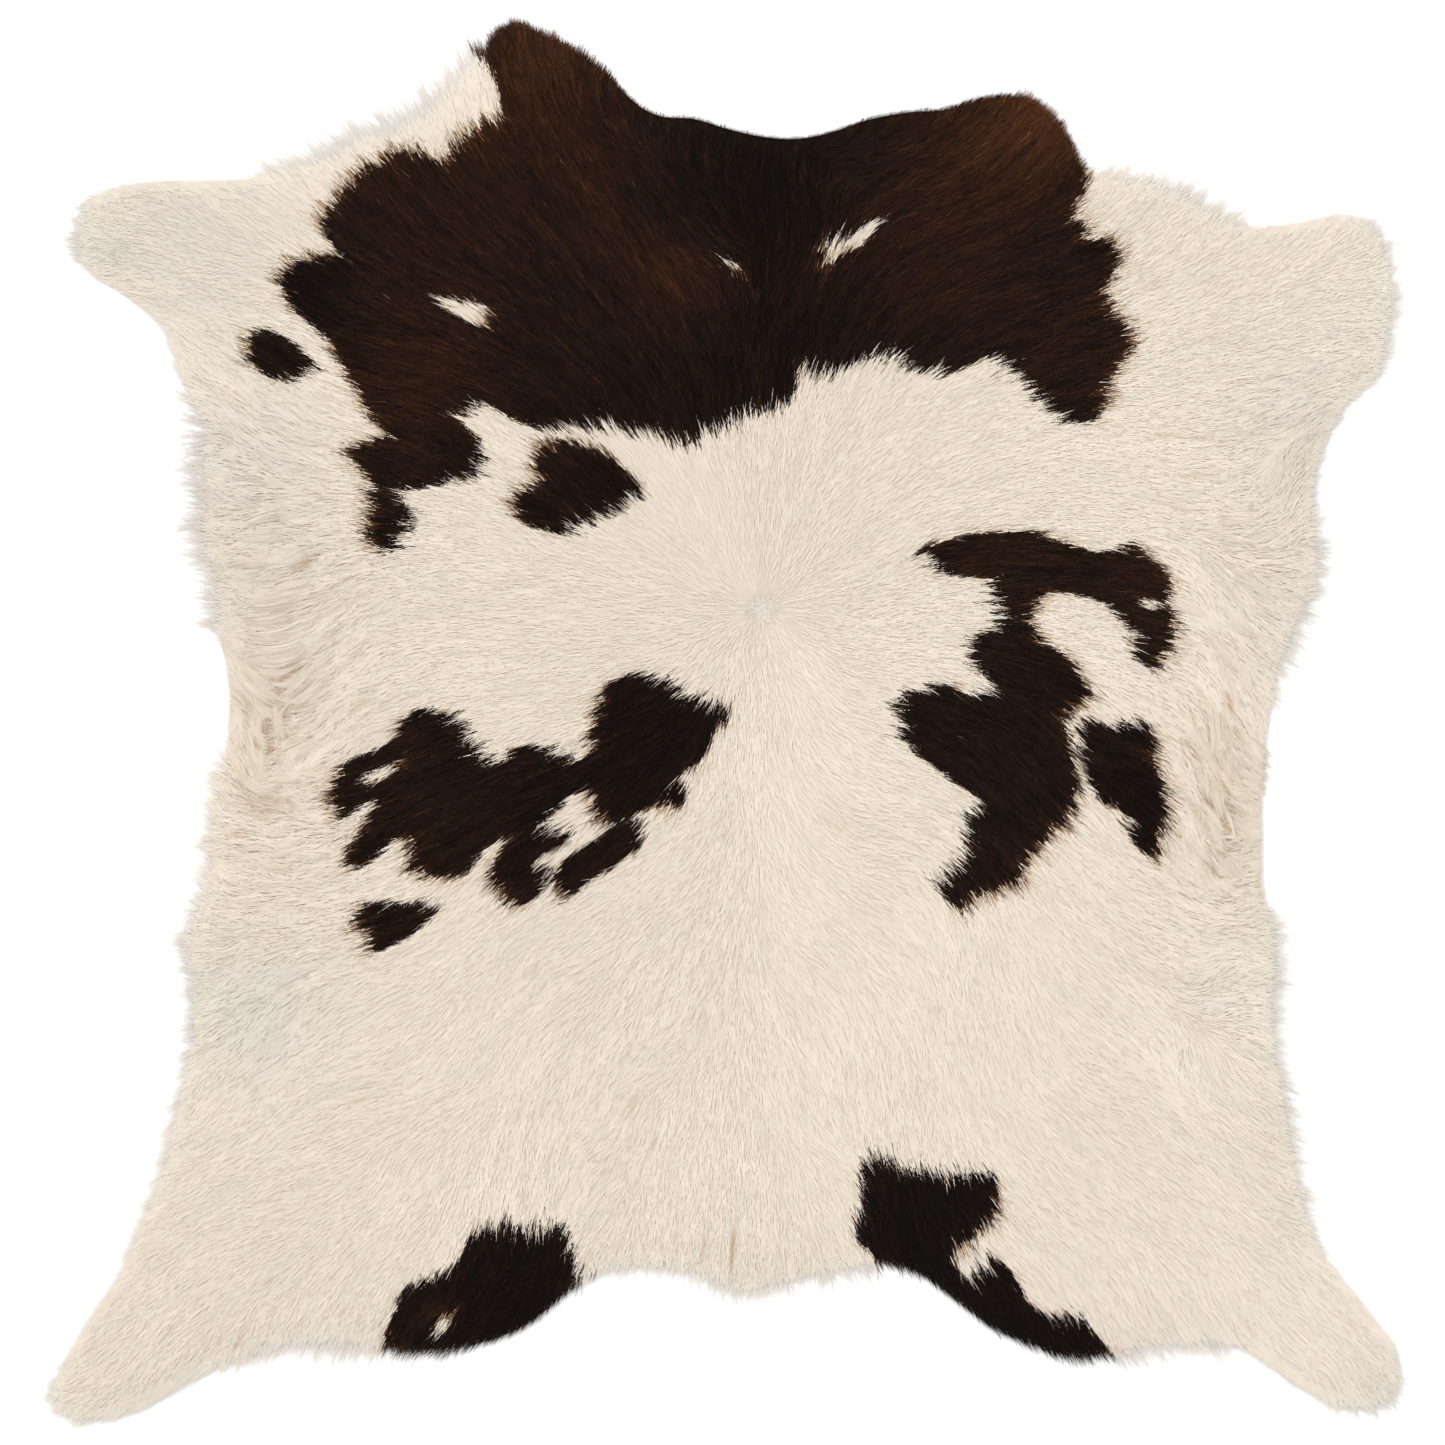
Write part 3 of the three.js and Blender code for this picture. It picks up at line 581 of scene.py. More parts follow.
def drawLie():  # the hair's direction as two fields, and the fringe that the nearest rim allows
    along, across, fringe = Field(6.0), Field(6.0), Field(6.0)
    x, y = along.x, along.y
    sumX, sumY, rimSum, fringeSum = (np.zeros(x.shape) for _ in range(4))
    for combX, combY, degrees in combs:
        weight = ((x - combX) ** 2 + (y - combY) ** 2 + combHold**2) ** -1.6
        sumX += weight * math.cos(math.radians(degrees))
        sumY += weight * math.sin(math.radians(degrees))
    for (rimX, rimY), comb, length in zip(rimCurve[::3], rimComb[::3], rimFringe[::3]):
        away = (x - rimX) ** 2 + (y - rimY) ** 2
        weight = (away + combHold**2) ** -1.6 * np.exp(-away / rimHold**2)
        sumX += weight * math.cos(comb)
        sumY += weight * math.sin(comb)
        near = (away + 16.0) ** -2.0
        rimSum += near
        fringeSum += near * length
    size = np.hypot(sumX, sumY) + 1e-12
    sumX, sumY = sumX / size, sumY / size
    for whorl in whorls:
        rayX, rayY = x - whorl["at"][0], y - whorl["at"][1]
        away = np.hypot(rayX, rayY) + 1e-6
        hold = np.exp(-((away / whorl["radius"]) ** 2))
        turn = math.radians(whorl["turn"])
        swirlX = (rayX * math.cos(turn) - rayY * math.sin(turn)) / away
        swirlY = (rayX * math.sin(turn) + rayY * math.cos(turn)) / away
        sumX = sumX * (1 - hold) + swirlX * hold
        sumY = sumY * (1 - hold) + swirlY * hold
    return along.fill(sumX), across.fill(sumY), fringe.fill(fringeSum / rimSum)


lieX, lieY, fringeField = drawLie()
print("lie of the hair drawn from", len(combs), "readings")


streaks = {
    "finePitch": 1.05,  # mm across the fine streaks of the coat
    "fineReach": 12.0,  # mm that they run to each side along the lie
    "fineRise": 0.06,  # mm
    "broadPitch": 3.4,
    "broadReach": 26.0,
    "broadRise": 0.055,
    "wildRise": 0.38,  # mm more where the coat is most ruffled
    "wildRuffle": 12.0,  # degrees of ruffle that count as most
    "feel": 0.8,  # mm to each side that a strand feels the slope of the streaks at
    "tanSink": 3.0,  # mm that a groove sinks for each whole step of its tone
    "tanShade": 0.55,  # painted shade: brightness lost per whole step of the tone of grooves and tan streaks
}


def combedNoise(pitch, reach, seed):  # noise drawn out along the lie of the hair
    field, grain = Field(pitch), Field(pitch)
    grain.fill(np.random.default_rng(seed).normal(0, 1, (field.count, field.count)))
    total = grain.values.copy()
    for side in (1, -1):
        x, y = field.x.copy(), field.y.copy()
        for _ in range(int(reach / pitch)):
            stepX, stepY = lieX.at(x, y), lieY.at(x, y)
            x, y = x + side * pitch * stepX, y + side * pitch * stepY
            total = total + grain.at(x, y)
    return field.fill((total - total.mean()) / total.std())


coarser = 1.0  # times the pitch and the width of the hair
fineStreaks = combedNoise(streaks["finePitch"] * coarser, streaks["fineReach"], 41)
broadStreaks = combedNoise(streaks["broadPitch"] * coarser, streaks["broadReach"], 42)
print("streaks combed")


body = {
    "rimThickness": 2.0,  # mm at the very edge
    "coatRise": 4.0,  # mm more, well inside it
    "rimSoftness": 16.0,  # mm over which the coat rises
    "leastHeight": 0.8,  # mm past the rim
}

lumps = [  # place, radius and rise in mm
    ((-308, 15), 42, 1.3), ((338, -30), 46, 1.2), ((336, -92), 30, 0.9), ((-312, -190), 48, -0.7),
    ((334, -195), 46, -0.6), ((29, 79), 26, -0.5), ((28, 79), 9, -0.6), ((36, 330), 60, 0.7),
    ((14, -340), 55, 0.9),
]


def coatTop(x, y):
    depth = depthField.at(x, y)
    swell = 0.34 * np.sin(x / 37 + y / 61) * np.cos(y / 43 - x / 90) + 0.26 * np.sin(x / 19 - y / 27)
    for (lumpX, lumpY), radius, rise in lumps:
        swell = swell + rise * np.exp(-((x - lumpX) ** 2 + (y - lumpY) ** 2) / radius**2)
    fade = np.clip(depth / 40, 0, 1)
    rise = body["coatRise"] * np.tanh(depth / body["rimSoftness"]) + fade**2 * (3 - 2 * fade) * swell
    return np.maximum(body["leastHeight"], body["rimThickness"] + rise)


# Place, radius in mm, and what is added there: hair length in mm, ruffle in degrees, shift of the pale tone
# (towards tan above zero, towards grey below) and share of the brightness, which is painted shade below zero
# and painted light above it.
places = [
    ((-310, 100), 75, {"length": 4, "ruffle": 7, "tone": 0.0, "shade": -0.08}),
    ((-305, 0), 62, {"length": 3, "ruffle": 11, "tone": 0.065, "shade": -0.035}),
    ((-305, -80), 60, {"length": 3, "ruffle": 8, "tone": 0.04, "shade": -0.02}),
    ((338, -30), 60, {"length": 2, "ruffle": 10, "tone": 0.07, "shade": -0.025}),
    ((338, -90), 40, {"length": 1, "ruffle": 14, "tone": 0.01, "shade": -0.01}),
    ((360, 80), 60, {"length": 4, "ruffle": 7, "tone": -0.02, "shade": -0.02}),
    ((-312, -190), 50, {"length": 2, "ruffle": 7, "tone": -0.09, "shade": 0.01}),
    ((334, -195), 50, {"length": 2, "ruffle": 6, "tone": -0.05, "shade": 0.085}),
    ((-320, 190), 50, {"length": 2, "ruffle": 7, "tone": -0.06, "shade": 0.0}),
    ((380, 200), 45, {"length": 2, "ruffle": 5, "tone": -0.04, "shade": -0.02}),
    ((-340, 320), 60, {"length": 0, "ruffle": 0, "tone": -0.06, "shade": -0.035}),
    ((-415, 330), 50, {"length": -2, "ruffle": 0, "tone": -0.05, "shade": -0.03}),
    ((-240, 400), 60, {"length": 3, "ruffle": 2, "tone": -0.05, "shade": 0.0}),
    ((30, 320), 150, {"length": -2, "ruffle": 0, "tone": 0.0, "shade": 0.0}),
    ((-140, 460), 45, {"length": 2, "ruffle": 3, "tone": 0.0, "shade": 0.0}),
    ((215, 400), 55, {"length": 2, "ruffle": 3, "tone": 0.0, "shade": 0.0}),
    ((425, 290), 60, {"length": -2, "ruffle": 0, "tone": -0.05, "shade": 0.05}),
    ((-200, -250), 110, {"length": 0, "ruffle": 0, "tone": 0.0, "shade": 0.02}),
    ((400, -400), 90, {"length": 0, "ruffle": 0, "tone": -0.04, "shade": 0.065}),
    ((28, 77), 8, {"length": -6, "ruffle": 4, "tone": -0.06, "shade": -0.04}),
    ((26, 52), 12, {"length": 0, "ruffle": 2, "tone": -0.02, "shade": -0.02}),
]

# Place, radius in mm, and what is added to the dark tone there (towards brown above zero, black below).
browns = [
    ((-200, 340), 90, 0.045), ((-200, 225), 55, 0.07), ((-280, 300), 35, -0.06), ((150, 320), 85, 0.07),
    ((-125, 458), 50, 0.11), ((218, 405), 45, 0.15), ((160, 395), 45, 0.06), ((-110, 400), 60, 0.04),
    ((235, 250), 40, 0.05), ((-95, 160), 45, 0.02), ((-190, -50), 60, 0.035), ((-50, -10), 40, -0.02),
    ((170, 112), 50, 0.05), ((270, 95), 35, 0.06), ((210, 0), 60, 0.01), ((275, -40), 40, -0.03),
    ((-140, -385), 60, -0.04), ((140, -335), 60, -0.05), ((210, -400), 50, -0.03), ((22, 352), 38, -0.06),
    ((-192, -394), 14, 0.08), ((20, 250), 45, -0.02), ((-60, 320), 80, 0.04), ((-20, 290), 40, 0.05),
]

# Short streaks of tan hair, sunk a little and painted darker as painted shade: x, y, mm along the lie,
# mm across and what is added to the pale tone.
tanStreaks = [
    (-245, 86, 10, 2.2, 0.13), (-265, 76, 11, 1.8, 0.10), (-266, 91, 6, 1.8, 0.10),
    (-284, 74, 5, 1.6, 0.10), (-330, -77, 9, 2.5, 0.12), (-300, -100, 10, 2.5, 0.09),
    (-300, 75, 8, 2.0, 0.07), (-272, 152, 5, 2.4, 0.11), (-328, 219, 12, 5.0, 0.06),
    (-308, 165, 5, 1.6, 0.07), (-240, 22, 8, 2.0, 0.08), (-246, 12, 10, 3.5, 0.08),
    (300, 195, 10, 2.5, 0.10), (322, 193, 10, 2.5, 0.10), (318, 168, 9, 2.2, 0.11),
    (310, 145, 9, 2.5, 0.12), (295, -172, 9, 2.2, 0.11), (260, -228, 9, 2.2, 0.10),
    (282, -243, 8, 2.0, 0.08), (-128, -168, 8, 2.0, 0.12), (-112, -173, 7, 2.0, 0.08),
    (68, -10, 5, 1.6, 0.10), (63, -101, 7, 2.2, 0.09), (70, -66, 9, 3.0, 0.07), (80, -72, 7, 2.5, 0.08),
    (70, -216, 10, 2.5, 0.06), (86, -236, 12, 3.0, 0.07), (-65, -226, 8, 2.2, 0.10),
    (-60, -259, 8, 1.8, 0.15), (-47, -284, 9, 2.0, 0.12), (-106, -290, 12, 1.8, 0.12),
    (-118, -302, 14, 2.0, 0.10), (-138, -266, 8, 1.8, 0.10), (-134, -323, 8, 1.8, 0.12),
    (-112, -325, 8, 1.8, 0.12), (-126, -280, 10, 2.5, 0.07), (-12, -355, 13, 2.2, 0.15),
    (7, -358, 20, 1.8, 0.24), (10, -318, 14, 2.0, 0.08), (-245, -248, 14, 2.0, 0.11),
    (-245, -257, 12, 1.8, 0.12), (-325, -272, 7, 2.0, 0.09), (-376, -415, 9, 2.0, 0.12),
    (-330, -423, 8, 2.2, 0.16), (-340, -418, 12, 2.0, 0.10), (-365, -430, 14, 2.5, 0.07),
    (100, -290, 10, 2.2, 0.07), (80, -260, 10, 3.0, 0.07), (-190, -255, 16, 1.8, 0.09),
    (-410, -390, 14, 2.0, 0.07), (-430, -428, 12, 2.2, 0.06), (440, -408, 14, 3.0, 0.05),
]

# Grooves between the locks, where the tan roots show: their tan is partly the roots' own colour and partly
# painted shade, and they are also painted darker. x and y of both ends, half the width in mm and what is
# added to the pale tone.
grooves = [
    (-309, 29, -299, 28.5, 1.5, 0.17), (-299, 29, -290, 35, 1.9, 0.20), (-298, 37, -290, 40, 1.4, 0.14),
    (-305, 23, -297, 22, 1.5, 0.17), (-300, 20, -301, 14, 1.9, 0.20), (-299, 13, -296, 9, 1.6, 0.17),
    (-296, 9, -298, 2, 1.6, 0.17), (-310, 3, -309, -8, 1.6, 0.16), (-309, -8, -308, -18, 2.3, 0.20),
    (-306, -17, -300, -20, 1.9, 0.16), (-318, -12, -315, -19, 2.0, 0.13), (-321, 11, -324, -9, 1.8, 0.10),
    (-313, 12, -309, 14, 2.2, 0.10), (-288, -2, -292, -14, 2.6, 0.10), (-284, 27, -282, 30, 1.6, 0.15),
    (-272, 17, -267, 21, 1.2, 0.12), (-288, 9, -285, 12, 2.0, 0.10), (-267, 57, -260, 67, 1.6, 0.13),
    (-275, 48, -270, 52, 1.4, 0.11), (-250, 44, -243, 55, 1.7, 0.13), (-253, 7, -241, 16, 2.3, 0.10),
    (-286, -33, -270, -31, 1.3, 0.10), (-327, -41, -323, -51, 1.8, 0.12), (-321, -54, -318, -60, 1.7, 0.12),
    (-311, -50, -310, -60, 1.7, 0.10), (-303, -48, -302, -60, 1.8, 0.11), (-296, -52, -291, -60, 1.9, 0.11),
    (-312, 52, -305, 53, 1.0, 0.10), (-319, 60, -313, 57, 1.2, 0.09), (-327, 56, -324, 54, 1.6, 0.08),
    (-289, 104, -277, 113, 2.2, 0.20), (-285, 100, -282, 104, 1.8, 0.13), (-310, 106, -303, 107, 1.1, 0.07),
    (-290, 88, -282, 93, 1.3, 0.08), (-300, 98, -288, 102, 1.3, 0.06),
    (343, 20, 346, 6, 1.7, 0.18), (341, 8, 341, -8, 1.2, 0.14), (347, -5, 351, -8, 2.0, 0.14),
    (344, -12, 342, -24, 2.4, 0.10), (340, -26, 337, -30, 1.3, 0.16), (337, -31, 335, -38, 2.0, 0.11),
    (337, -40, 340, -42, 1.4, 0.16), (341, -43, 344, -50, 1.8, 0.18), (344, -50, 345, -57, 1.8, 0.13),
    (347, -60, 347, -67, 2.0, 0.14), (340, -66, 344, -73, 2.3, 0.20), (349, -72, 351, -81, 2.3, 0.10),
    (331, -85, 337, -81, 2.3, 0.12), (338, -90, 345, -87, 2.3, 0.16), (325, -95, 331, -96, 1.6, 0.16),
    (331, -96, 334, -103, 2.0, 0.20), (338, -105, 351, -104, 2.0, 0.12), (324, -102, 328, -110, 2.2, 0.11),
    (344, -98, 347, -95, 2.0, 0.10), (328, -51, 333, -58, 1.6, 0.16), (314, -12, 318, -16, 2.2, 0.12),
    (321, -19, 325, -27, 1.5, 0.15), (329, 3, 331, -12, 2.0, 0.10), (320, 4, 322, -6, 2.2, 0.08),
    (325, 20, 331, 8, 1.8, 0.07), (351, -123, 356, -118, 1.2, 0.10), (336, -114, 345, -114, 1.2, 0.09),
    (356, -80, 360, -84, 1.6, 0.07), (330, 90, 336, 70, 1.8, 0.06), (345, 60, 350, 44, 1.8, 0.06),
]


def drawTan():  # what the streaks and grooves add to the pale tone
    field = Field(1.4)
    for streakX, streakY, long, wide, amount in tanStreaks:
        area = windowOf(field, np.array([[streakX, streakY]]), 3 * long)
        headX, headY = (lie.at(np.array([streakX]), np.array([streakY]))[0] for lie in (lieX, lieY))
        awayX, awayY = field.x[area] - streakX, field.y[area] - streakY
        along, across = awayX * headX + awayY * headY, awayY * headX - awayX * headY
        field.values[area] += amount * np.exp(-((along / long) ** 2) - (across / wide) ** 2)
    for startX, startY, endX, endY, wide, amount in grooves:
        area = windowOf(field, np.array([[startX, startY], [endX, endY]]), 4 * wide)
        runX, runY = endX - startX, endY - startY
        share = ((field.x[area] - startX) * runX + (field.y[area] - startY) * runY) / (runX**2 + runY**2)
        share = np.clip(share, 0, 1)
        away = (field.x[area] - startX - share * runX) ** 2 + (field.y[area] - startY - share * runY) ** 2
        field.values[area] = np.maximum(field.values[area], amount * np.exp(-away / wide**2))
    return field


tanField = drawTan()


def relief(x, y, wild):  # mm that the locks rise and sink
    broad = streaks["broadRise"] + streaks["wildRise"] * wild
    rise = streaks["fineRise"] * fineStreaks.at(x, y) + broad * broadStreaks.at(x, y)
    return rise - streaks["tanSink"] * tanField.at(x, y)


coat = {
    "pitch": 1.24,  # mm between the roots
    "width": 0.45,  # mm across a strand's widest place
    "length": 18.0,  # mm on the back
    "lengthSpread": 0.25,  # share of the length
    "widest": 0.42,  # share of the length at which a strand is widest
    "rootShare": 0.45,  # height of the root, as a share of the coat's
    "heightSpread": 0.12,  # mm that one strand lies higher or lower than another
    "tipDrop": 0.25,  # mm that the tip lies below the widest place
    "ruffle": 3.0,  # degrees that one strand turns from its neighbours
    "bend": 5.0,  # degrees that the tip turns from the root
    "roll": 4.0,  # degrees that a strand is rolled about its length by chance
    "mostRoll": 30.0,  # degrees that the slope of the streaks rolls it at most
    "wave": 16.0,  # degrees that whole locks turn where the coat is most ruffled
    "wavePitch": 11.0,  # mm
    "fringeWidth": 0.36,  # mm across strands that stand past the rim
    "fringePitch": 0.12,  # mm between the extra strands along the rim
    "fringeDepth": 7.0,  # mm inside the rim that they start at, at most
    "fringeStart": 0.3,  # mm inside the rim that they start at, at least
    "edgeShare": 0.7,  # share of the bare edge that no root stands on
    "fringeScale": 1.3,  # share of the length that the outline's table gives
    "darkFringe": 0.65,  # the same where the hair is dark
    "fringeReach": 1.35,  # times that length, for the longest strands
    "fringeMost": 1.5,  # times that length, past which a strand is cut
    "fringeThinning": 1.4,  # above 1, fewer strands are long
    "coatThinning": 1.2,  # the same for the coat's own strands
    "leastLength": 1.5,  # mm
    "fringeTone": -0.22,  # adds to the tone past the rim: greyer, partly own cooler white, partly painted shade
    "fringeShade": 0.18,  # and to the brightness, as painted light shining through the thin hair
    "coatPast": 0.2,  # share of the fringe that the coat's own strands reach past the rim at most
    "leastFringe": 4.0,  # mm: a rim with shorter hair gets no extra strands
    "whorlRoots": 700,  # short strands that cover the middle of a whorl, pointing all ways
    "whorlSpread": 4.0,  # mm
    "whorlLength": 8.0,  # mm
    "teeth": 1.5,  # mm that the fine streaks push the edge of a patch along the lie
    "broadTeeth": 1.1,
    "edgeSpread": 1.7,  # mm more by chance
    "enterTeeth": 1.1,  # times as much again where the hair points into the dark
    "enterSpread": 0.7,
    "leaveSpread": 1.5,  # mm more still where it points out of the dark
    "haze": 0.75,  # share of brown and tan strands there, at most
    "hazeShare": 0.15,  # of them that stand at the other edges too
    "hazeMiddle": -1.8,  # mm inside the patch
    "hazeReach": 3.2,  # mm
    "hazeTone": 0.492,
    "hazeSlope": 0.012,  # for each mm inside
    "hazeSpread": 0.008,
    "darkSheen": 0.25,  # painted sheen: brightness of the dark strands spread by chance, for their glints
    "stain": 0.15,  # what the nearness of a dark patch adds to the pale tone
    "stainReach": 3.4,  # mm
    "tanScale": 1.25,  # times the tone that the tan streaks and grooves give
    "sway": 4.0,  # degrees that the lie wanders by
    "swayPitch": 34.0,  # mm
    "drift": 0.014,  # slow change of the pale tone over the hide
    "driftPitch": 16.0,  # mm
    "toneSpread": 0.012,  # of the pale tone among strands
    "shadeSpread": 0.010,  # of the brightness among strands
    "shadeGrain": 0.010,  # painted shade and light by the streaks: darker in their hollows, lighter on their ridges
    "wildShade": 0.02,  # the same, more where the coat is most ruffled
    "darkGrain": 0.02,  # spread of the dark tone by the fine streaks
    "darkBroadGrain": 0.009,
    "darkLift": 0.04,  # browner, lighter dark strands by chance: partly own brown, partly painted sheen
    "grain": 0.010,  # spread of the tone by the fine streaks
    "broadGrain": 0.008,
    "wildGrain": 0.022,  # where most ruffled, the broad streaks' hollows turn tan: painted shade
    "rust": 0.22,  # what the very edge of a patch adds to the dark tone
    "rustReach": 2.4,  # mm
    "fringeRust": 0.2,  # the same for the dark hair past the rim
    "lowest": 0.15,  # mm above the floor
    "tanInDark": 0.00015,  # share of tan strands in the dark patches
    "tanTone": 0.498,
}

tufts = {
    "pitch": 4.5,  # mm between the middles of two tufts
    "rimPitch": 5.0,  # mm, among the extra strands at the rim
    "rimPull": 0.18,
    "rimLength": 0.15,  # share of the length
    "pull": 0.15,  # how far the tips draw together
    "turn": 2.4,  # degrees
    "length": 0.06,  # share of the length
    "height": 0.09,  # mm
}

coatParts = {  # the coat is parted into pieces by place: low x, high x, low y, high y
    "leftNeckHair": (-600, 30, 192, 600),
    "rightNeckHair": (30, 600, 192, 600),
    "leftSideHair": (-600, 20, -150, 192),
    "rightSideHair": (20, 600, -150, 192),
    "leftRumpHair": (-600, 8, -600, -150),
    "rightRumpHair": (8, 600, -600, -150),
}

paleTones = (0.03, 0.225, 0.46)  # least, usual and most along the scale of tones
darkTones = (0.56, 0.64, 0.97)


def placeSums(x, y):  # what the places add at each point
    sums = {"length": 0.0, "ruffle": 0.0, "tone": 0.0, "shade": 0.0}
    for (placeX, placeY), radius, adds in places:
        hold = np.exp(-((x - placeX) ** 2 + (y - placeY) ** 2) / radius**2)
        for name, amount in adds.items():
            sums[name] = sums[name] + amount * hold
    return sums


def brownSum(x, y):
    total = np.zeros(x.shape)
    for (placeX, placeY), radius, amount in browns:
        total = total + amount * np.exp(-((x - placeX) ** 2 + (y - placeY) ** 2) / radius**2)
    return total


def tuftOf(x, y, pitch, random):  # for each root: middle of its tuft and the numbers that its tuft shares
    count = int(2 * fieldReach / pitch) + 3
    jitter = random.uniform(0.1, 0.9, (2, count, count))
    shared = random.normal(0, 1, (5, count, count))
    column = ((x + fieldReach) / pitch).astype(int)
    row = ((y + fieldReach) / pitch).astype(int)
    best = np.full(x.shape, 1e9)
    middleX, middleY = np.zeros(x.shape), np.zeros(x.shape)
    own = np.zeros((5,) + x.shape)
    for stepX in (-1, 0, 1):
        for stepY in (-1, 0, 1):
            atColumn = np.clip(column + stepX, 0, count - 1)
            atRow = np.clip(row + stepY, 0, count - 1)
            centreX = (atColumn + jitter[0][atRow, atColumn]) * pitch - fieldReach
            centreY = (atRow + jitter[1][atRow, atColumn]) * pitch - fieldReach
            away = (x - centreX) ** 2 + (y - centreY) ** 2
            nearer = away < best
            best = np.where(nearer, away, best)
            middleX = np.where(nearer, centreX, middleX)
            middleY = np.where(nearer, centreY, middleY)
            own[:, nearer] = shared[:, atRow[nearer], atColumn[nearer]]
    return middleX, middleY, own


def coatEdge(fringe):  # mm inside the outline at which the dense coat ends
    return np.interp(fringe, (shortHair, longHair), ground["setIn"])


def growRoots(random):  # roots over the hide, and more of them close to the rims that have long hair
    pitch = coat["pitch"] * coarser
    ticks = np.arange(-fieldReach, fieldReach, pitch)
    x, y = (grid.ravel() for grid in np.meshgrid(ticks, ticks))
    x = x + random.uniform(0, pitch, x.shape)
    y = y + random.uniform(0, pitch, y.shape)
    inside = depthField.at(x, y) > coat["edgeShare"] * coatEdge(fringeField.at(x, y))
    x, y = x[inside], y[inside]
    run = np.roll(rimCurve, -1, axis=0) - rimCurve
    lengths = np.linalg.norm(run, axis=1)
    starts = np.concatenate([[0], np.cumsum(lengths)])
    spots = np.arange(0, starts[-1], coat["fringePitch"] * coarser)
    index = np.clip(np.searchsorted(starts, spots, side="right") - 1, 0, len(rimCurve) - 1)
    share = ((spots - starts[index]) / lengths[index])[:, None]
    inward = np.stack([run[:, 1], -run[:, 0]], axis=1)[index] / lengths[index][:, None]
    setIn = random.uniform(coat["fringeStart"], coat["fringeDepth"], len(spots))
    setIn = setIn + coat["edgeShare"] * coatEdge(rimFringe[index])
    rimRoots = rimCurve[index] + share * run[index] + inward * setIn[:, None]
    wanted = rimFringe[index] >= coat["leastFringe"]
    rimRoots = rimRoots[wanted]
    kinds = np.concatenate([np.full(len(x), "coat"), np.full(len(rimRoots), "rim")])
    x, y = np.concatenate([x, rimRoots[:, 0]]), np.concatenate([y, rimRoots[:, 1]])
    for whorl in whorls:
        extra = random.normal(0, coat["whorlSpread"], (coat["whorlRoots"], 2)) + np.array(whorl["at"], float)
        x, y = np.concatenate([x, extra[:, 0]]), np.concatenate([y, extra[:, 1]])
        kinds = np.concatenate([kinds, np.full(len(extra), "whorl")])
    return x, y, kinds


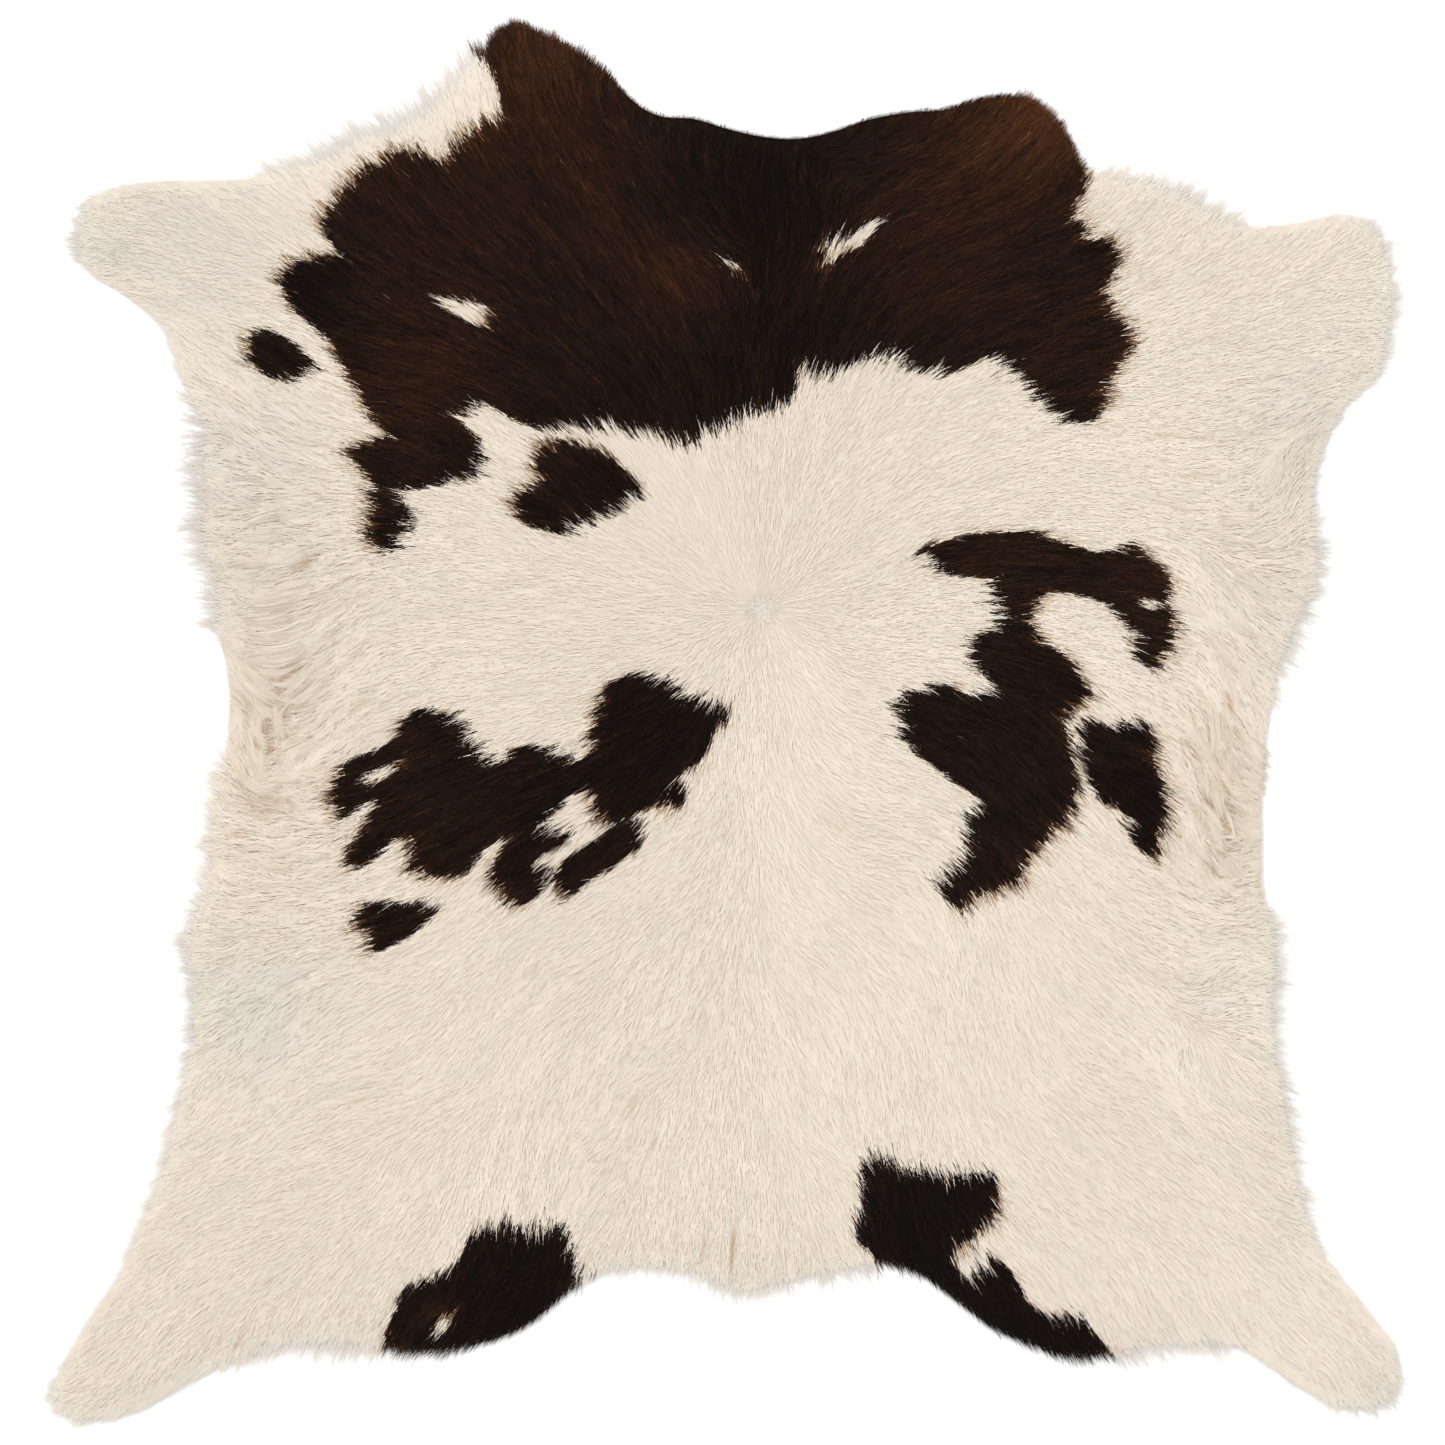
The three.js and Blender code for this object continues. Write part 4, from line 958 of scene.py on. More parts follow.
def growCoat():  # corners, so the place, tones and painted light and shade of every strand
    random = np.random.default_rng(11)
    x, y, kinds = growRoots(random)
    isRim, isWhorl = kinds == "rim", kinds == "whorl"
    count = len(x)
    sums = placeSums(x, y)
    tuftX, tuftY, own = tuftOf(x, y, tufts["pitch"], random)
    tuftX[isRim], tuftY[isRim], own[:, isRim] = tuftOf(x[isRim], y[isRim], tufts["rimPitch"], random)
    low = wander(coat["swayPitch"], 21).at(x, y)
    angle = np.arctan2(lieY.at(x, y), lieX.at(x, y))
    wild = np.clip(sums["ruffle"] / streaks["wildRuffle"], 0, 1)
    ruffle = np.radians(coat["ruffle"] + 0.6 * sums["ruffle"])
    angle = angle + np.radians(tufts["turn"] * own[0]) * (1 + sums["ruffle"] / 8)
    angle = angle + np.radians(coat["sway"] * low)
    angle = angle + np.radians(coat["wave"]) * wild * 2 * wander(coat["wavePitch"], 22).at(x, y)
    angle = angle + ruffle * random.normal(0, 1, count)
    angle = np.where(isWhorl, random.uniform(0, 2 * np.pi, count), angle)
    length = (coat["length"] + sums["length"]) * (1 + tufts["length"] * own[1])
    length = length * (1 + coat["lengthSpread"] * random.normal(0, 0.7, count).clip(-1.6, 1.6))

    depth = depthField.at(x, y)
    edge = coatEdge(fringeField.at(x, y))
    scale = np.where(darkField.at(x, y) > 0, coat["darkFringe"], coat["fringeScale"])
    fringe = fringeField.at(x, y) * scale
    allowed = (edge + coat["coatPast"] * fringe) * random.uniform(0, 1, count) ** coat["coatThinning"] - edge
    ofTuft = (1 + tufts["rimLength"] * own[1]).clip(0.3, 1.5)
    rimLength = (edge + coat["fringeReach"] * fringe) * random.uniform(0, 1, count) ** coat["fringeThinning"]
    rimLength = rimLength * ofTuft + depth - edge
    length = np.where(isRim, rimLength, length)
    allowed = np.where(isRim, coat["fringeMost"] * fringe, allowed)
    length = np.where(isWhorl, coat["whorlLength"] * random.uniform(0.6, 1.3, count), length)
    tipDepth = depthField.at(x + length * np.cos(angle), y + length * np.sin(angle))
    past = -tipDepth > allowed
    kept = np.where(past, (depth + allowed) / np.maximum(depth - tipDepth, 0.1), 1.0)
    length = np.maximum(length * np.clip(kept, 0.15, 1.0), coat["leastLength"])

    forwardX, forwardY = np.cos(angle), np.sin(angle)
    bend = np.radians(coat["bend"]) * random.normal(0, 1, count) + np.radians(coat["bend"]) * 0.6 * own[2]
    tipX = x + length * np.cos(angle + bend)
    tipY = y + length * np.sin(angle + bend)
    pull = np.where(isRim, tufts["rimPull"], tufts["pull"] * (1 + sums["ruffle"] / 12)) * ~isWhorl
    drawX = (tuftX + length * forwardX - tipX) * pull
    drawY = (tuftY + length * forwardY - tipY) * pull
    tipX, tipY = tipX + drawX, tipY + drawY
    outside = np.clip(-depthField.at(tipX, tipY) / length, 0, 1)
    widest = coat["widest"]
    midX = x + widest * length * forwardX + 0.25 * drawX
    midY = y + widest * length * forwardY + 0.25 * drawY

    over = coat["heightSpread"] * random.uniform(-1, 1, count)
    over = over + tufts["height"] * own[3] * np.clip(depth / 10, 0, 1)
    fade = np.clip(depth / 8, 0.25, 1)
    midZ = coatTop(midX, midY) + (over + relief(midX, midY, wild)) * fade
    tipZ = coatTop(tipX, tipY) + (over + relief(tipX, tipY, wild) - coat["tipDrop"]) * fade
    rootZ = coatTop(x, y) * coat["rootShare"]
    width = np.where(isRim, coat["fringeWidth"], coat["width"]) * random.uniform(0.75, 1.25, count)
    width = width * coarser / 2
    sideX, sideY = -np.sin(angle + bend / 2), np.cos(angle + bend / 2)
    feel = streaks["feel"]
    rise = relief(midX + feel * sideX, midY + feel * sideY, wild)
    rise = rise - relief(midX - feel * sideX, midY - feel * sideY, wild)
    most = np.radians(coat["mostRoll"])
    roll = np.clip(np.arctan(rise / (2 * feel)), -most, most)
    roll = roll + np.radians(coat["roll"]) * random.uniform(-1, 1, count)
    sideFlat, sideUp = width * np.cos(roll), width * np.sin(roll)

    corners = np.empty((count, 4, 3))
    corners[:, 0] = np.stack([x, y, rootZ], axis=1)
    corners[:, 1] = np.stack([midX + sideX * sideFlat, midY + sideY * sideFlat, midZ + sideUp], axis=1)
    corners[:, 2] = np.stack([midX - sideX * sideFlat, midY - sideY * sideFlat, midZ - sideUp], axis=1)
    corners[:, 3] = np.stack([tipX, tipY, tipZ], axis=1)
    corners[:, :, 2] = np.maximum(corners[:, :, 2], coat["lowest"])

    tone, shade = strandTones(x, y, forwardX, forwardY, length, sums, wild, outside, random)
    return corners, tone, shade


def strandTones(x, y, forwardX, forwardY, length, sums, wild, outside, random):  # outside: share past the rim
    count = len(x)
    midX, midY = x + 0.5 * length * forwardX, y + 0.5 * length * forwardY
    fine, broad, tan = fineStreaks.at(midX, midY), broadStreaks.at(midX, midY), tanField.at(midX, midY)
    ahead = darkField.at(midX + 2 * forwardX, midY + 2 * forwardY)
    ahead = (ahead - darkField.at(midX - 2 * forwardX, midY - 2 * forwardY)) / 4
    leaving, entering = np.clip(-ahead, 0, 1), np.clip(ahead, 0, 1)
    reach = 0.5 * length + coat["teeth"] * (1 + coat["enterTeeth"] * entering) * fine
    reach = reach + coat["broadTeeth"] * broad
    reach = reach + coat["edgeSpread"] * (1 + coat["enterSpread"] * entering) * random.normal(0, 1, count)
    seenX, seenY = x + reach * forwardX, y + reach * forwardY
    inDark = darkField.at(seenX, seenY) + (0.5 + coat["leaveSpread"] * leaving) * random.normal(0, 1, count)
    # the tone follows the streaks; where most ruffled their hollows turn tan as painted shade
    grain = coat["grain"] * fine + coat["broadGrain"] * broad - coat["wildGrain"] * wild * broad
    # past the rim the pale tone turns greyer, partly as painted shade
    pale = paleTones[1] + sums["tone"] + grain + coat["tanScale"] * tan + coat["fringeTone"] * outside
    pale = pale + coat["drift"] * wander(coat["driftPitch"], 31).at(x, y)
    pale = pale + coat["toneSpread"] * random.normal(0, 1, count)
    near = np.exp(np.minimum(inDark, 0) / (coat["stainReach"] * (0.5 + leaving)))
    pale = pale + coat["stain"] * (0.25 + leaving) * near * random.uniform(0, 1, count)
    pale = np.clip(pale, paleTones[0], paleTones[2])
    edge = np.exp(-np.maximum(inDark, 0) / (coat["rustReach"] * (0.5 + leaving)))
    edge = edge * (0.4 + leaving) * random.uniform(0, 1.3, count)
    dark = darkTones[1] + brownSum(x, y) + coat["rust"] * edge + coat["darkGrain"] * fine
    dark = dark + coat["darkBroadGrain"] * broad
    dark = dark + coat["fringeRust"] * outside
    # browner, lighter dark strands: partly their own brown, partly painted sheen
    dark = dark + coat["darkLift"] * np.abs(random.normal(0, 1, count))
    dark = np.clip(dark, darkTones[0], darkTones[2])
    dark = np.where(random.uniform(0, 1, count) < coat["tanInDark"], coat["tanTone"], dark)
    # painted light and shade that scales each strand's colour, from the places, the streaks and the rim
    shade = 1 + sums["shade"] + coat["shadeGrain"] * fine
    shade = shade + (coat["shadeGrain"] + coat["wildShade"] * wild) * broad
    shade = shade + coat["shadeSpread"] * random.normal(0, 1, count)
    # painted light: hair past the rim made brighter, as light shines through it
    shade = shade + coat["fringeShade"] * outside
    # painted sheen: dark strands made lighter or darker by chance
    shade = np.where(inDark > 0, shade + coat["darkSheen"] * random.normal(0, 1, count), shade)
    tone = np.where(inDark > 0, dark, pale)
    hazy = (coat["hazeShare"] + leaving) * np.exp(-(((inDark - coat["hazeMiddle"]) / coat["hazeReach"]) ** 2))
    hazeTone = coat["hazeTone"] + coat["hazeSlope"] * np.clip(inDark, -5, 1)
    hazeTone = hazeTone + coat["hazeSpread"] * random.normal(0, 1, count)
    tone = np.where(random.uniform(0, 1, count) < coat["haze"] * hazy, hazeTone, tone)
    # painted shade: the hair is darker where the grooves and tan streaks lie
    return tone, shade - streaks["tanShade"] * tan


# Locks that curl out of the coat on the flanks: x, y, the direction at the root, length in mm, degrees that
# the lock turns by up to its tip, and width in mm.
locks = [
    (-284, 66, 212, 42, -45, 5), (-282, 58, 215, 43, -55, 5), (-281, 51, 220, 44, -65, 5),
    (-284, 45, 222, 40, -70, 5), (-286, 38, 225, 34, -85, 4), (-286, 31, 230, 26, -90, 4),
    (-300, 17, 150, 34, -20, 5), (-303, 12, 155, 30, -25, 4), (-303, 10, 275, 24, 10, 5),
    (-316, 8, 265, 24, 5, 5), (-283, -5, 245, 34, -100, 4), (-279, -11, 240, 36, -80, 5),
    (-290, 14, 235, 26, -20, 5), (-276, 36, 228, 34, -15, 5), (-268, 30, 222, 34, -10, 5),
    (-262, 50, 226, 34, -8, 5), (-280, 90, 200, 38, -20, 5), (-276, 98, 203, 36, -20, 4),
    (-276, 118, 206, 34, -22, 5), (-290, 84, 200, 40, -28, 5), (-290, 74, 202, 40, -30, 5),
    (-300, 112, 195, 36, -20, 5), (-296, 128, 192, 36, -18, 5), (-318, -22, 100, 24, 12, 4),
    (-325, -40, 110, 26, 10, 4), (-312, -42, 98, 24, -10, 4), (-298, -40, 200, 30, -30, 4),
    (336, 15, 272, 38, 5, 5), (345, -20, 268, 18, 0, 3), (350, -8, 335, 26, -20, 4),
    (350, -15, 333, 26, -18, 4), (349, -22, 332, 26, -18, 4), (348, -30, 330, 26, -16, 4),
    (334, -42, 285, 24, 0, 5), (341, -57, 293, 26, -10, 4), (327, -97, 290, 42, 80, 4),
    (322, -90, 278, 42, 60, 4), (337, -86, 285, 16, 30, 4), (318, -78, 300, 26, 10, 5),
    (330, 5, 280, 30, -10, 4), (322, -4, 290, 26, 5, 4), (326, -28, 275, 26, 10, 5),
    (342, -50, 335, 20, -25, 4), (343, -64, 335, 20, -25, 4), (338, -90, 330, 20, -25, 4),
    (336, -99, 330, 18, -25, 4), (330, -64, 300, 22, -20, 4), (330, 60, 320, 34, -30, 5),
    (338, 80, 330, 34, -30, 5), (345, 100, 345, 34, -25, 5), (335, 40, 310, 32, -25, 5),
]

lock = {
    "strands": 90,
    "strandWidth": 0.45,  # mm
    "widthScale": 1.9,  # times the width that the table gives
    "shares": (0.0, 0.28, 0.52, 0.76, 1.0),  # of the length, at which a strand is drawn
    "shapes": (0.75, 1.0, 0.8),  # width at the three inner places
    "rootSpread": 6.0,  # mm along the lock
    "pull": 0.4,  # how far the tips draw together
    "rise": 0.1,  # mm over the coat
    "crown": 0.15,  # mm more in the lock's middle
    "spread": 0.25,  # mm that one strand lies higher or lower than another
    "rootDrop": 1.6,  # mm that the root lies lower
    "tipDrop": 0.4,  # mm that the tip lies lower
    "mostTan": 0.07,  # tone of a groove that it may lie over
    "tone": 0.05,  # what its sides add to the tone
    "shade": -0.03,  # and to the brightness: painted shade along its sides
    "toneSpread": 0.02,
    # painted shade: its strands a little dimmer than the coat's, as they lie higher and take more light
    "bright": 0.975,
    "shadeSpread": 0.015,
    "wildCount": 8,  # more locks by chance about each of the wild places
    "wildTurn": 22.0,  # degrees
    "wildLean": 10.0,  # degrees away from the lie
    "wildLength": (22, 32),  # mm
    "wildWidth": (3, 5),  # mm
    "wildDepth": 12.0,  # mm inside the rim at the least
}

wildPlaces = [((-305, 0), (20, 42)), ((340, -50), (14, 45)), ((-312, 90), (24, 40)), ((350, 75), (18, 40))]


def growLocks():  # corners, tones and painted shades of the strands of all locks
    random = np.random.default_rng(17)
    rows = [list(row) for row in locks]
    for (placeX, placeY), (spreadX, spreadY) in wildPlaces:
        for _ in range(lock["wildCount"]):
            x, y = placeX + spreadX * random.normal(), placeY + spreadY * random.normal()
            root = np.array([[x], [y]])
            angle = math.degrees(math.atan2(lieY.at(*root)[0], lieX.at(*root)[0]))
            angle = angle + lock["wildLean"] * random.normal()
            length = random.uniform(*lock["wildLength"])
            heading = np.array([[math.cos(math.radians(angle))], [math.sin(math.radians(angle))]])
            tip = root + length * heading
            if min(depthField.at(*root)[0], depthField.at(*tip)[0]) > lock["wildDepth"]:
                turn, wide = lock["wildTurn"] * random.normal(), random.uniform(*lock["wildWidth"])
                rows.append([x, y, angle, length, turn, wide])
    rows = np.repeat(np.array(rows), lock["strands"] // (1), axis=0)
    count = len(rows)
    x, y, angle, length, turn, wide = (column[:, None] for column in rows.T)
    angle, turn = np.radians(angle), np.radians(turn) + 1e-3
    across = random.uniform(-1, 1, (count, 1))
    shift = lock["rootSpread"] / length * random.uniform(-1, 1, (count, 1))
    shares = np.array(lock["shares"])[None, :] * random.uniform(0.75, 1.0, (count, 1)) + shift
    headings = angle + turn * shares
    middleX = x + length * (np.sin(headings) - np.sin(angle)) / turn
    middleY = y - length * (np.cos(headings) - np.cos(angle)) / turn
    aside = across * wide * lock["widthScale"] / 2 * (1 - lock["pull"] * shares.clip(0, 1))
    lineX, lineY = middleX - aside * np.sin(headings), middleY + aside * np.cos(headings)
    lift = np.sin(np.pi * np.array(lock["shares"]) ** 0.7)[None, :]
    lineZ = coatTop(lineX, lineY) + lift * (lock["rise"] + lock["crown"] * (1 - across**2))
    lineZ = lineZ + lock["spread"] * random.normal(0, 1, (count, 1))
    lineZ[:, 0] -= lock["rootDrop"]
    lineZ[:, 4] -= lock["tipDrop"]
    half = lock["strandWidth"] / 2 * random.uniform(0.7, 1.2, (count, 1)) * np.array(lock["shapes"])[None, :]
    corners = np.empty((count, 8, 3))
    corners[:, 0] = np.stack([lineX[:, 0], lineY[:, 0], lineZ[:, 0]], axis=1)
    corners[:, 7] = np.stack([lineX[:, 4], lineY[:, 4], lineZ[:, 4]], axis=1)
    for side, first in ((1, 1), (-1, 2)):
        sideX, sideY = -np.sin(headings[:, 1:4]) * half * side, np.cos(headings[:, 1:4]) * half * side
        tilt = -0.5 * across * half * side
        places3d = [lineX[:, 1:4] + sideX, lineY[:, 1:4] + sideY, lineZ[:, 1:4] + tilt]
        corners[:, first:7:2] = np.stack(places3d, axis=2)
    corners[:, :, 2] = np.maximum(corners[:, :, 2], coat["lowest"])
    sums = placeSums(lineX[:, 2], lineY[:, 2])
    edge = np.abs(across[:, 0]) ** 3
    tone = paleTones[1] + sums["tone"] + lock["tone"] * edge
    tone = tone + lock["toneSpread"] * random.normal(0, 1, count)
    # painted shade: the lock dimmed and darker along its sides, with the places' painted shade and light
    shade = lock["bright"] + sums["shade"] + lock["shade"] * edge
    shade = shade + lock["shadeSpread"] * random.normal(0, 1, count)
    clear = tanField.at(lineX, lineY)[:, 1:4].max(axis=1) < lock["mostTan"]  # no strand lies over a groove
    return corners[clear], np.clip(tone, paleTones[0], paleTones[2])[clear], shade[clear]


def strandMesh(name, corners, tone, shade, alongs):  # one ribbon for each strand, pointed at both ends
    count, size = corners.shape[:2]
    mesh = bpy.data.meshes.new(name)
    mesh.vertices.add(count * size)
    places3d = (corners - np.array([middle[0], middle[1], 0.0])) * toMetres
    mesh.vertices.foreach_set("co", places3d.astype(np.float32).ravel())
    order = [0, 2, 1]
    for pair in range(1, size - 3, 2):
        order += [pair, pair + 1, pair + 2, pair + 2, pair + 1, pair + 3]
    order = np.array(order + [size - 3, size - 2, size - 1])
    loops = (np.arange(count)[:, None] * size + order[None, :]).ravel()
    mesh.loops.add(len(loops))
    mesh.loops.foreach_set("vertex_index", loops.astype(np.int32))
    mesh.polygons.add(len(loops) // 3)
    mesh.polygons.foreach_set("loop_start", np.arange(0, len(loops), 3, dtype=np.int32))
    mesh.polygons.foreach_set("use_smooth", np.ones(len(loops) // 3, dtype=bool))
    mesh.update(calc_edges=True)
    sideShift = np.zeros(size)
    sideShift[1:-1:2], sideShift[2:-1:2] = 0.004, -0.004
    along = np.repeat(alongs, [1] + [2] * (len(alongs) - 2) + [1])
    uv = np.empty((count, len(order), 2), dtype=np.float32)
    uv[:, :, 0] = tone[:, None] + sideShift[order][None, :]
    uv[:, :, 1] = along[order][None, :]
    layer = mesh.uv_layers.new(name="OFBake")
    layer.data.foreach_set("uv", uv.ravel())
    # the painted light and shade of each strand, which scales its colour
    shades = np.repeat(shade, size).astype(np.float32)
    mesh.attributes.new("shade", "FLOAT", "POINT").data.foreach_set("value", shades)
    return mesh


toneStops = [
    (0.00, (206, 202, 196)), (0.12, (232, 223, 210)), (0.25, (243, 231, 214)), (0.36, (236, 219, 198)),
    (0.47, (212, 184, 152)), (0.50, (90, 68, 50)), (0.55, (12, 9, 7)), (0.66, (22, 15, 11)),
    (0.76, (46, 27, 16)), (0.88, (78, 46, 26)), (1.00, (128, 82, 48)),
]


hair = {
    "base": 0.827,  # brightness at the root, as a share of the tone's: painted shade deep in the coat
    "tipRise": 0.08,  # more at the tip
    "tipPower": 0.6,
    "grain": 0.035,  # spread along and across a strand
    "grainScale": (420.0, 5.0, 1.0),
}


def hairFinish():
    finish = Finish("hair", {"Roughness": 0.6, "Specular IOR Level": 0.04})
    spot = finish.node("ShaderNodeUVMap", {"uv_map": "OFBake"})
    tone = finish.node("ShaderNodeSeparateXYZ", {}, {0: spot})
    along = Wire(finish, tone.socket.node.outputs[1])
    colour = finish.node("ShaderNodeValToRGB", {"stops": toneStops}, {"Fac": tone})
    sockets = {0: spot, 1: hair["grainScale"]}
    stretched = finish.node("ShaderNodeVectorMath", {"operation": "MULTIPLY"}, sockets)
    grain = finish.node("ShaderNodeTexNoise", {}, {"Vector": stretched, "Scale": 1.0, "Detail": 1.0})
    # the painted light and shade that each strand carries
    place = finish.node("ShaderNodeAttribute", {"attribute_name": "shade"}, {}, "Fac")
    # painted shade: each strand darker towards its root
    bright = hair["base"] + hair["tipRise"] * along ** hair["tipPower"] + hair["grain"] * (grain - 0.5)
    shade = place * bright
    dimmed = finish.node("ShaderNodeVectorMath", {"operation": "SCALE"}, {0: colour, "Scale": shade})
    finish.feed("Base Color", dimmed)
    return finish.material


def undercoatFinish():
    finish = Finish("undercoat", {"Roughness": 0.8, "Specular IOR Level": 0.05})
    tone = finish.node("ShaderNodeAttribute", {"attribute_name": "tone"}, {}, "Fac")
    colour = finish.node("ShaderNodeValToRGB", {"stops": toneStops}, {"Fac": tone})
    shade = finish.node("ShaderNodeAttribute", {"attribute_name": "shade"}, {}, "Fac")
    where = finish.node("ShaderNodeTexCoord", {}, {}, "Object")
    grain = finish.node("ShaderNodeTexNoise", {}, {"Vector": where, "Scale": 900.0, "Detail": 2.0})
    # painted shade: dimmed to about 0.86, as it lies under the hair, times the places' painted shade
    scale = shade * (0.80 + 0.12 * grain)
    dimmed = finish.node("ShaderNodeVectorMath", {"operation": "SCALE"}, {0: colour, "Scale": scale})
    finish.feed("Base Color", dimmed)
    return finish.material


def skinFinish():
    finish = Finish("skin", {"Roughness": 0.85, "Specular IOR Level": 0.2})
    where = finish.node("ShaderNodeTexCoord", {}, {}, "Object")
    broad = finish.node("ShaderNodeTexNoise", {}, {"Vector": where, "Scale": 9.0, "Detail": 4.0})
    nap = finish.node("ShaderNodeTexNoise", {}, {"Vector": where, "Scale": 1400.0, "Detail": 3.0})
    stops = [(0.30, (206, 192, 170)), (0.55, (221, 209, 189)), (0.75, (229, 219, 202))]
    colour = finish.node("ShaderNodeValToRGB", {"stops": stops}, {"Fac": broad * 0.8 + nap * 0.25})
    finish.feed("Base Color", colour)
    bump = finish.node("ShaderNodeBump", {}, {"Height": nap, "Strength": 0.35, "Distance": 0.0003})
    finish.feed("Normal", bump)
    return finish.material


def floorFinish():
    finish = Finish("floor", {"Roughness": 0.9, "Specular IOR Level": 0.1})
    finish.shader.inputs["Base Color"].default_value = (0.93, 0.93, 0.93, 1.0)
    return finish.material


def addPiece(name, mesh, material):
    mesh.materials.append(material)
    piece = bpy.data.objects.new(name, mesh)
    bpy.context.collection.objects.link(piece)
    return piece


def planarUV(mesh, size):  # the piece seen from above, on one square
    layer = mesh.uv_layers.new(name="OFBake")
    for loop in mesh.loops:
        place = mesh.vertices[loop.vertex_index].co
        layer.data[loop.index].uv = (place.x / size + 0.5, place.y / size + 0.5)


leather = {
    "thickness": 1.3,  # mm
    "setIn": (2.4, 6.0),  # mm inside the outline, where the hair past it is short and where it is long
    "roundness": 0.35,  # mm, along its cut edge
}


def makeSkin():
    edge = setInward(*leather["setIn"])
    shape = bmesh.new()
    sheet = shape.faces.new([shape.verts.new((x, y, 0.0)) for x, y in edge])
    grown = bmesh.ops.extrude_face_region(shape, geom=[sheet], use_keep_orig=True)
    top = [item for item in grown["geom"] if isinstance(item, bmesh.types.BMVert)]
    bmesh.ops.translate(shape, verts=top, vec=(0.0, 0.0, leather["thickness"]))
    bmesh.ops.recalc_face_normals(shape, faces=shape.faces)
    rims = [link for link in shape.edges if abs(link.verts[0].co.z - link.verts[1].co.z) < 1e-6]
    bmesh.ops.bevel(shape, geom=rims, offset=leather["roundness"], offset_type="OFFSET", segments=2,
                    profile=0.5, affect="EDGES", material=-1)
    bmesh.ops.translate(shape, verts=shape.verts, vec=(-middle[0], -middle[1], 0.0))
    bmesh.ops.scale(shape, verts=shape.verts, vec=(toMetres, toMetres, toMetres))
    mesh = bpy.data.meshes.new("skin")
    shape.to_mesh(mesh)
    shape.free()
    planarUV(mesh, 1.0)
    area = 0.5 * abs(np.sum(edge[:, 0] * np.roll(edge[:, 1], -1) - edge[:, 1] * np.roll(edge[:, 0], -1)))
    print("skin made, area", round(area * 1e-6, 4), "square metres")
    return addPiece("skin", mesh, skinFinish()), area * 1e-6


ground = {
    "pitch": 6.0,  # mm between the points of the undercoat
    "setIn": (1.4, 4.2),  # mm inside the outline
    "below": 0.95,  # mm under the top of the coat
    "wildBelow": 1.2,  # mm more where the coat is most ruffled
    "least": 1.15,  # mm above the floor at its edge
    "tone": 0.05,  # more tan than the pale hair: painted shade in the gaps between the strands
    "blend": 5,  # mm from its pale tone to the dark one
}


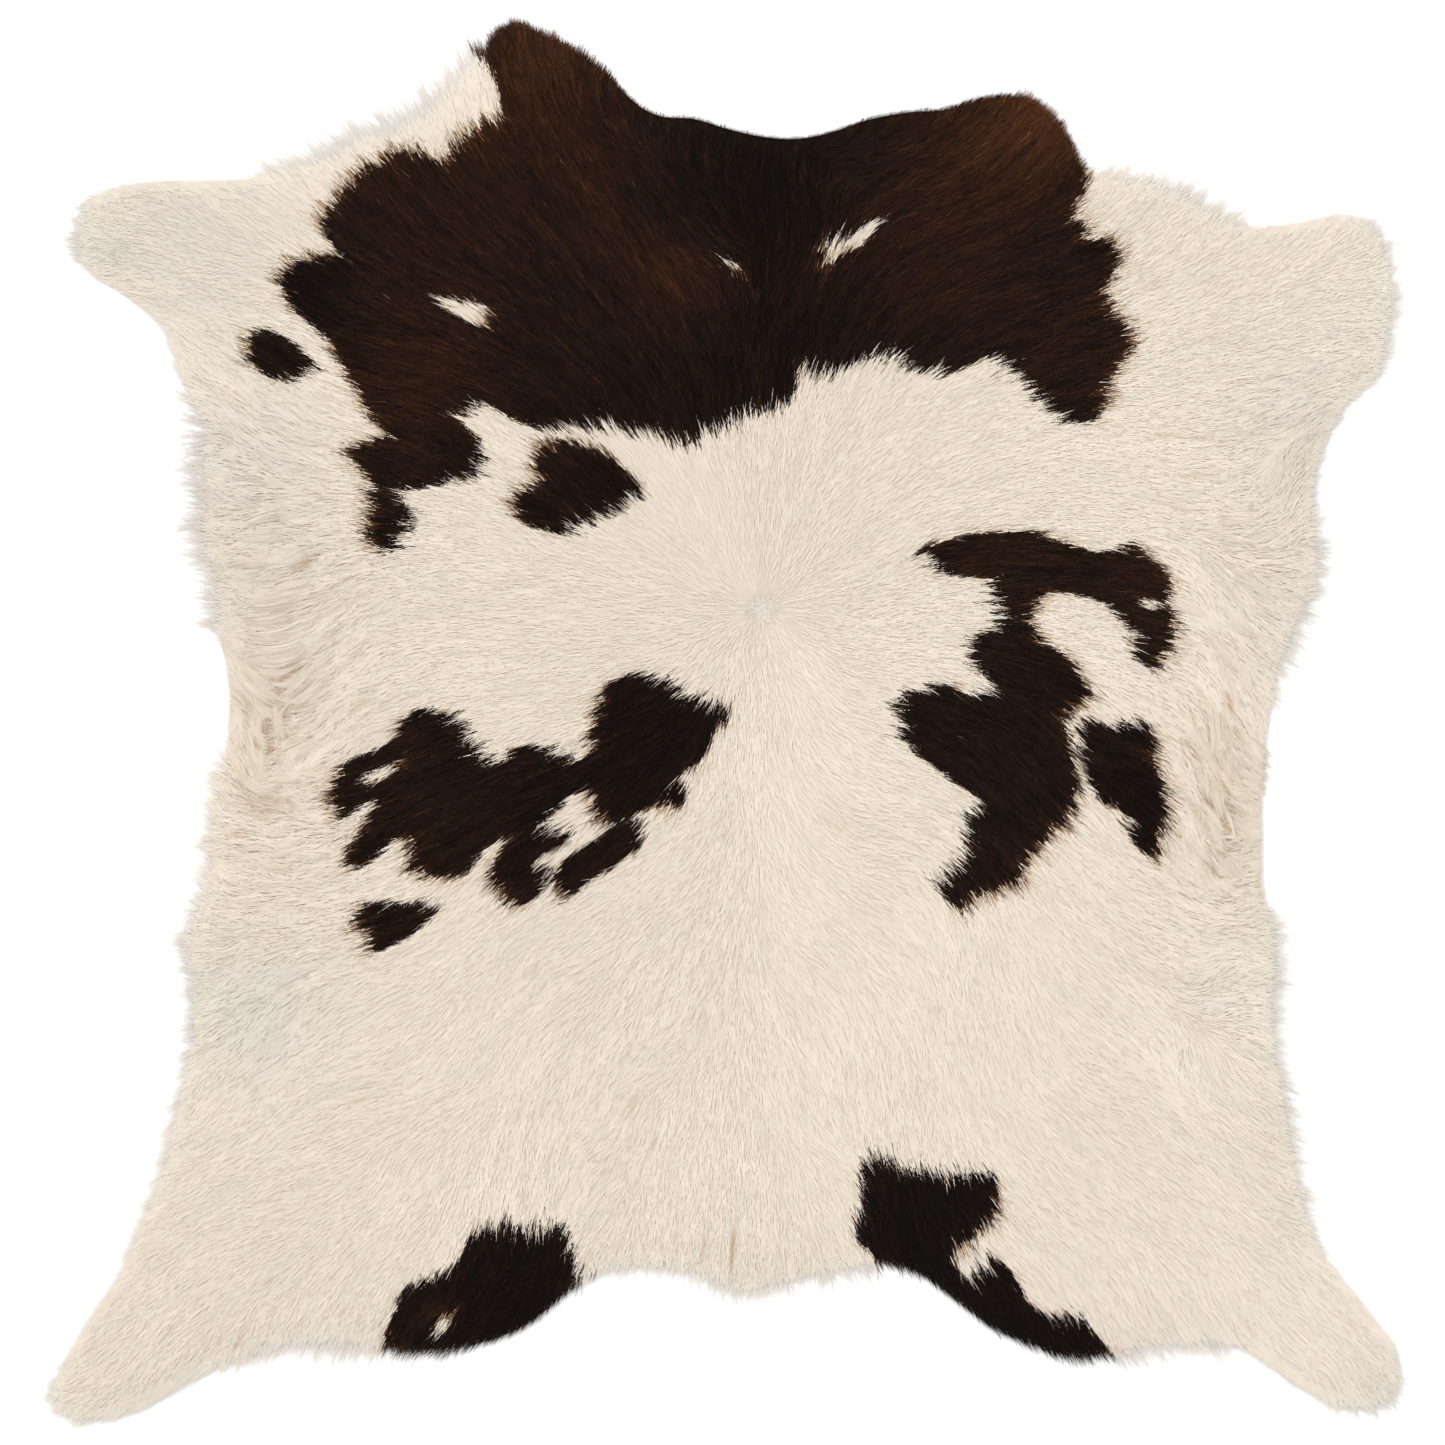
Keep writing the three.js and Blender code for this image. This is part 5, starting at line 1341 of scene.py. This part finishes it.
def makeUndercoat():
    shape = bmesh.new()
    count = int(2 * fieldReach / ground["pitch"])
    bmesh.ops.create_grid(shape, x_segments=count, y_segments=count, size=fieldReach)
    edgeField = Field(4.0)
    edgeField.fill(depthInside(edgeField.x, edgeField.y, setInward(*ground["setIn"])))
    centres = np.array([face.calc_center_median() for face in shape.faces])
    depth = edgeField.at(centres[:, 0], centres[:, 1])
    bmesh.ops.delete(shape, geom=[face for face, d in zip(shape.faces[:], depth) if d < 0], context="FACES")
    edgeVerts = [vert for vert in shape.verts if vert.is_boundary]
    for _ in range(3):  # the ragged edge goes to the rim in three steps
        for vert in edgeVerts:
            x, y = np.array([vert.co.x]), np.array([vert.co.y])
            slopeX = (edgeField.at(x + 2, y)[0] - edgeField.at(x - 2, y)[0]) / 4
            slopeY = (edgeField.at(x, y + 2)[0] - edgeField.at(x, y - 2)[0]) / 4
            size = max(math.hypot(slopeX, slopeY), 0.3)
            step = -edgeField.at(x, y)[0]
            vert.co.x += slopeX / size * step
            vert.co.y += slopeY / size * step
    flat = np.array([vert.co for vert in shape.verts])
    wild = np.clip(placeSums(flat[:, 0], flat[:, 1])["ruffle"] / streaks["wildRuffle"], 0, 1)
    below = ground["below"] + ground["wildBelow"] * wild
    heights = np.maximum(coatTop(flat[:, 0], flat[:, 1]) - below, ground["least"])
    for vert, height in zip(shape.verts, heights):
        vert.co.z = height
    rims = [link for link in shape.edges if link.is_boundary]
    for link in rims:
        link.smooth = False
    grown = bmesh.ops.extrude_edge_only(shape, edges=rims)
    lower = [item for item in grown["geom"] if isinstance(item, bmesh.types.BMVert)]
    for vert in lower:
        vert.co.z = leather["thickness"]
    lowerEdges = [item for item in grown["geom"] if isinstance(item, bmesh.types.BMEdge) and item.is_boundary]
    bmesh.ops.triangle_fill(shape, edges=lowerEdges, use_beauty=False)
    bmesh.ops.recalc_face_normals(shape, faces=shape.faces)
    for face in shape.faces:
        face.smooth = True
    flat = np.array([vert.co for vert in shape.verts])
    x, y = flat[:, 0], flat[:, 1]
    inDark = darkField.at(x, y)
    sums = placeSums(x, y)
    pale = paleTones[1] + ground["tone"] + sums["tone"] + tanField.at(x, y)
    pale = np.clip(pale, paleTones[0], paleTones[2])
    share = np.clip(0.5 + inDark / ground["blend"], 0, 1)
    tone = pale * (1 - share) + darkTones[1] * share
    bmesh.ops.translate(shape, verts=shape.verts, vec=(-middle[0], -middle[1], 0.0))
    bmesh.ops.scale(shape, verts=shape.verts, vec=(toMetres, toMetres, toMetres))
    mesh = bpy.data.meshes.new("undercoat")
    shape.to_mesh(mesh)
    shape.free()
    mesh.attributes.new("tone", "FLOAT", "POINT").data.foreach_set("value", tone.astype(np.float32))
    # the places' painted shade and light
    shade = (1 + sums["shade"]).astype(np.float32)
    mesh.attributes.new("shade", "FLOAT", "POINT").data.foreach_set("value", shade)
    planarUV(mesh, 1.0)
    print("undercoat made,", len(mesh.polygons), "faces")
    return addPiece("undercoat", mesh, undercoatFinish())


def makeCoat():
    corners, tone, shade = growCoat()
    alongs = np.array([0.02, coat["widest"], 0.98])
    material = hairFinish()
    pieces = []
    for name, (lowX, highX, lowY, highY) in coatParts.items():
        x, y = corners[:, 0, 0], corners[:, 0, 1]
        mine = (x >= lowX) & (x < highX) & (y >= lowY) & (y < highY)
        mesh = strandMesh(name, corners[mine], tone[mine], shade[mine], alongs)
        pieces.append(addPiece(name, mesh, material))
        print(name, "grown,", int(mine.sum()), "strands")
    corners, tone, shade = growLocks()
    for name, mine in (("leftFlankLocks", corners[:, 0, 0] < 0), ("rightFlankLocks", corners[:, 0, 0] >= 0)):
        mesh = strandMesh(name, corners[mine], tone[mine], shade[mine], np.array(lock["shares"]))
        pieces.append(addPiece(name, mesh, material))
        print(name, "grown,", int(mine.sum()), "strands")
    return pieces


def makeStudio():
    bpy.ops.mesh.primitive_plane_add(size=studio["floorSize"], location=(0, 0, -studio["floorDrop"]))
    floor = bpy.context.object
    floor.name = "floor"
    floor.data.materials.append(floorFinish())
    lamp = bpy.data.lights.new("lamp", "AREA")
    lamp.shape = "DISK"
    lamp.size = studio["lampSize"]
    lamp.energy = studio["lampPower"]
    lampObject = bpy.data.objects.new("lamp", lamp)
    lampObject.location = studio["lampPlace"]
    lampObject.rotation_euler = (-Vector(studio["lampPlace"])).to_track_quat("-Z", "Y").to_euler()
    bpy.context.collection.objects.link(lampObject)
    world = bpy.data.worlds.new("world")
    bpy.context.scene.world = world
    world.use_nodes = True
    background = world.node_tree.nodes["Background"]
    background.inputs["Color"].default_value = (1.0, 1.0, 1.0, 1.0)
    background.inputs["Strength"].default_value = studio["worldStrength"]
    print("studio lit")


setCamera()
makeStudio()
skin, skinArea = makeSkin()
undercoat = makeUndercoat()
hairPieces = makeCoat()

for piece in [skin, undercoat] + hairPieces:
    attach(piece, "root")
    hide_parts("hide")
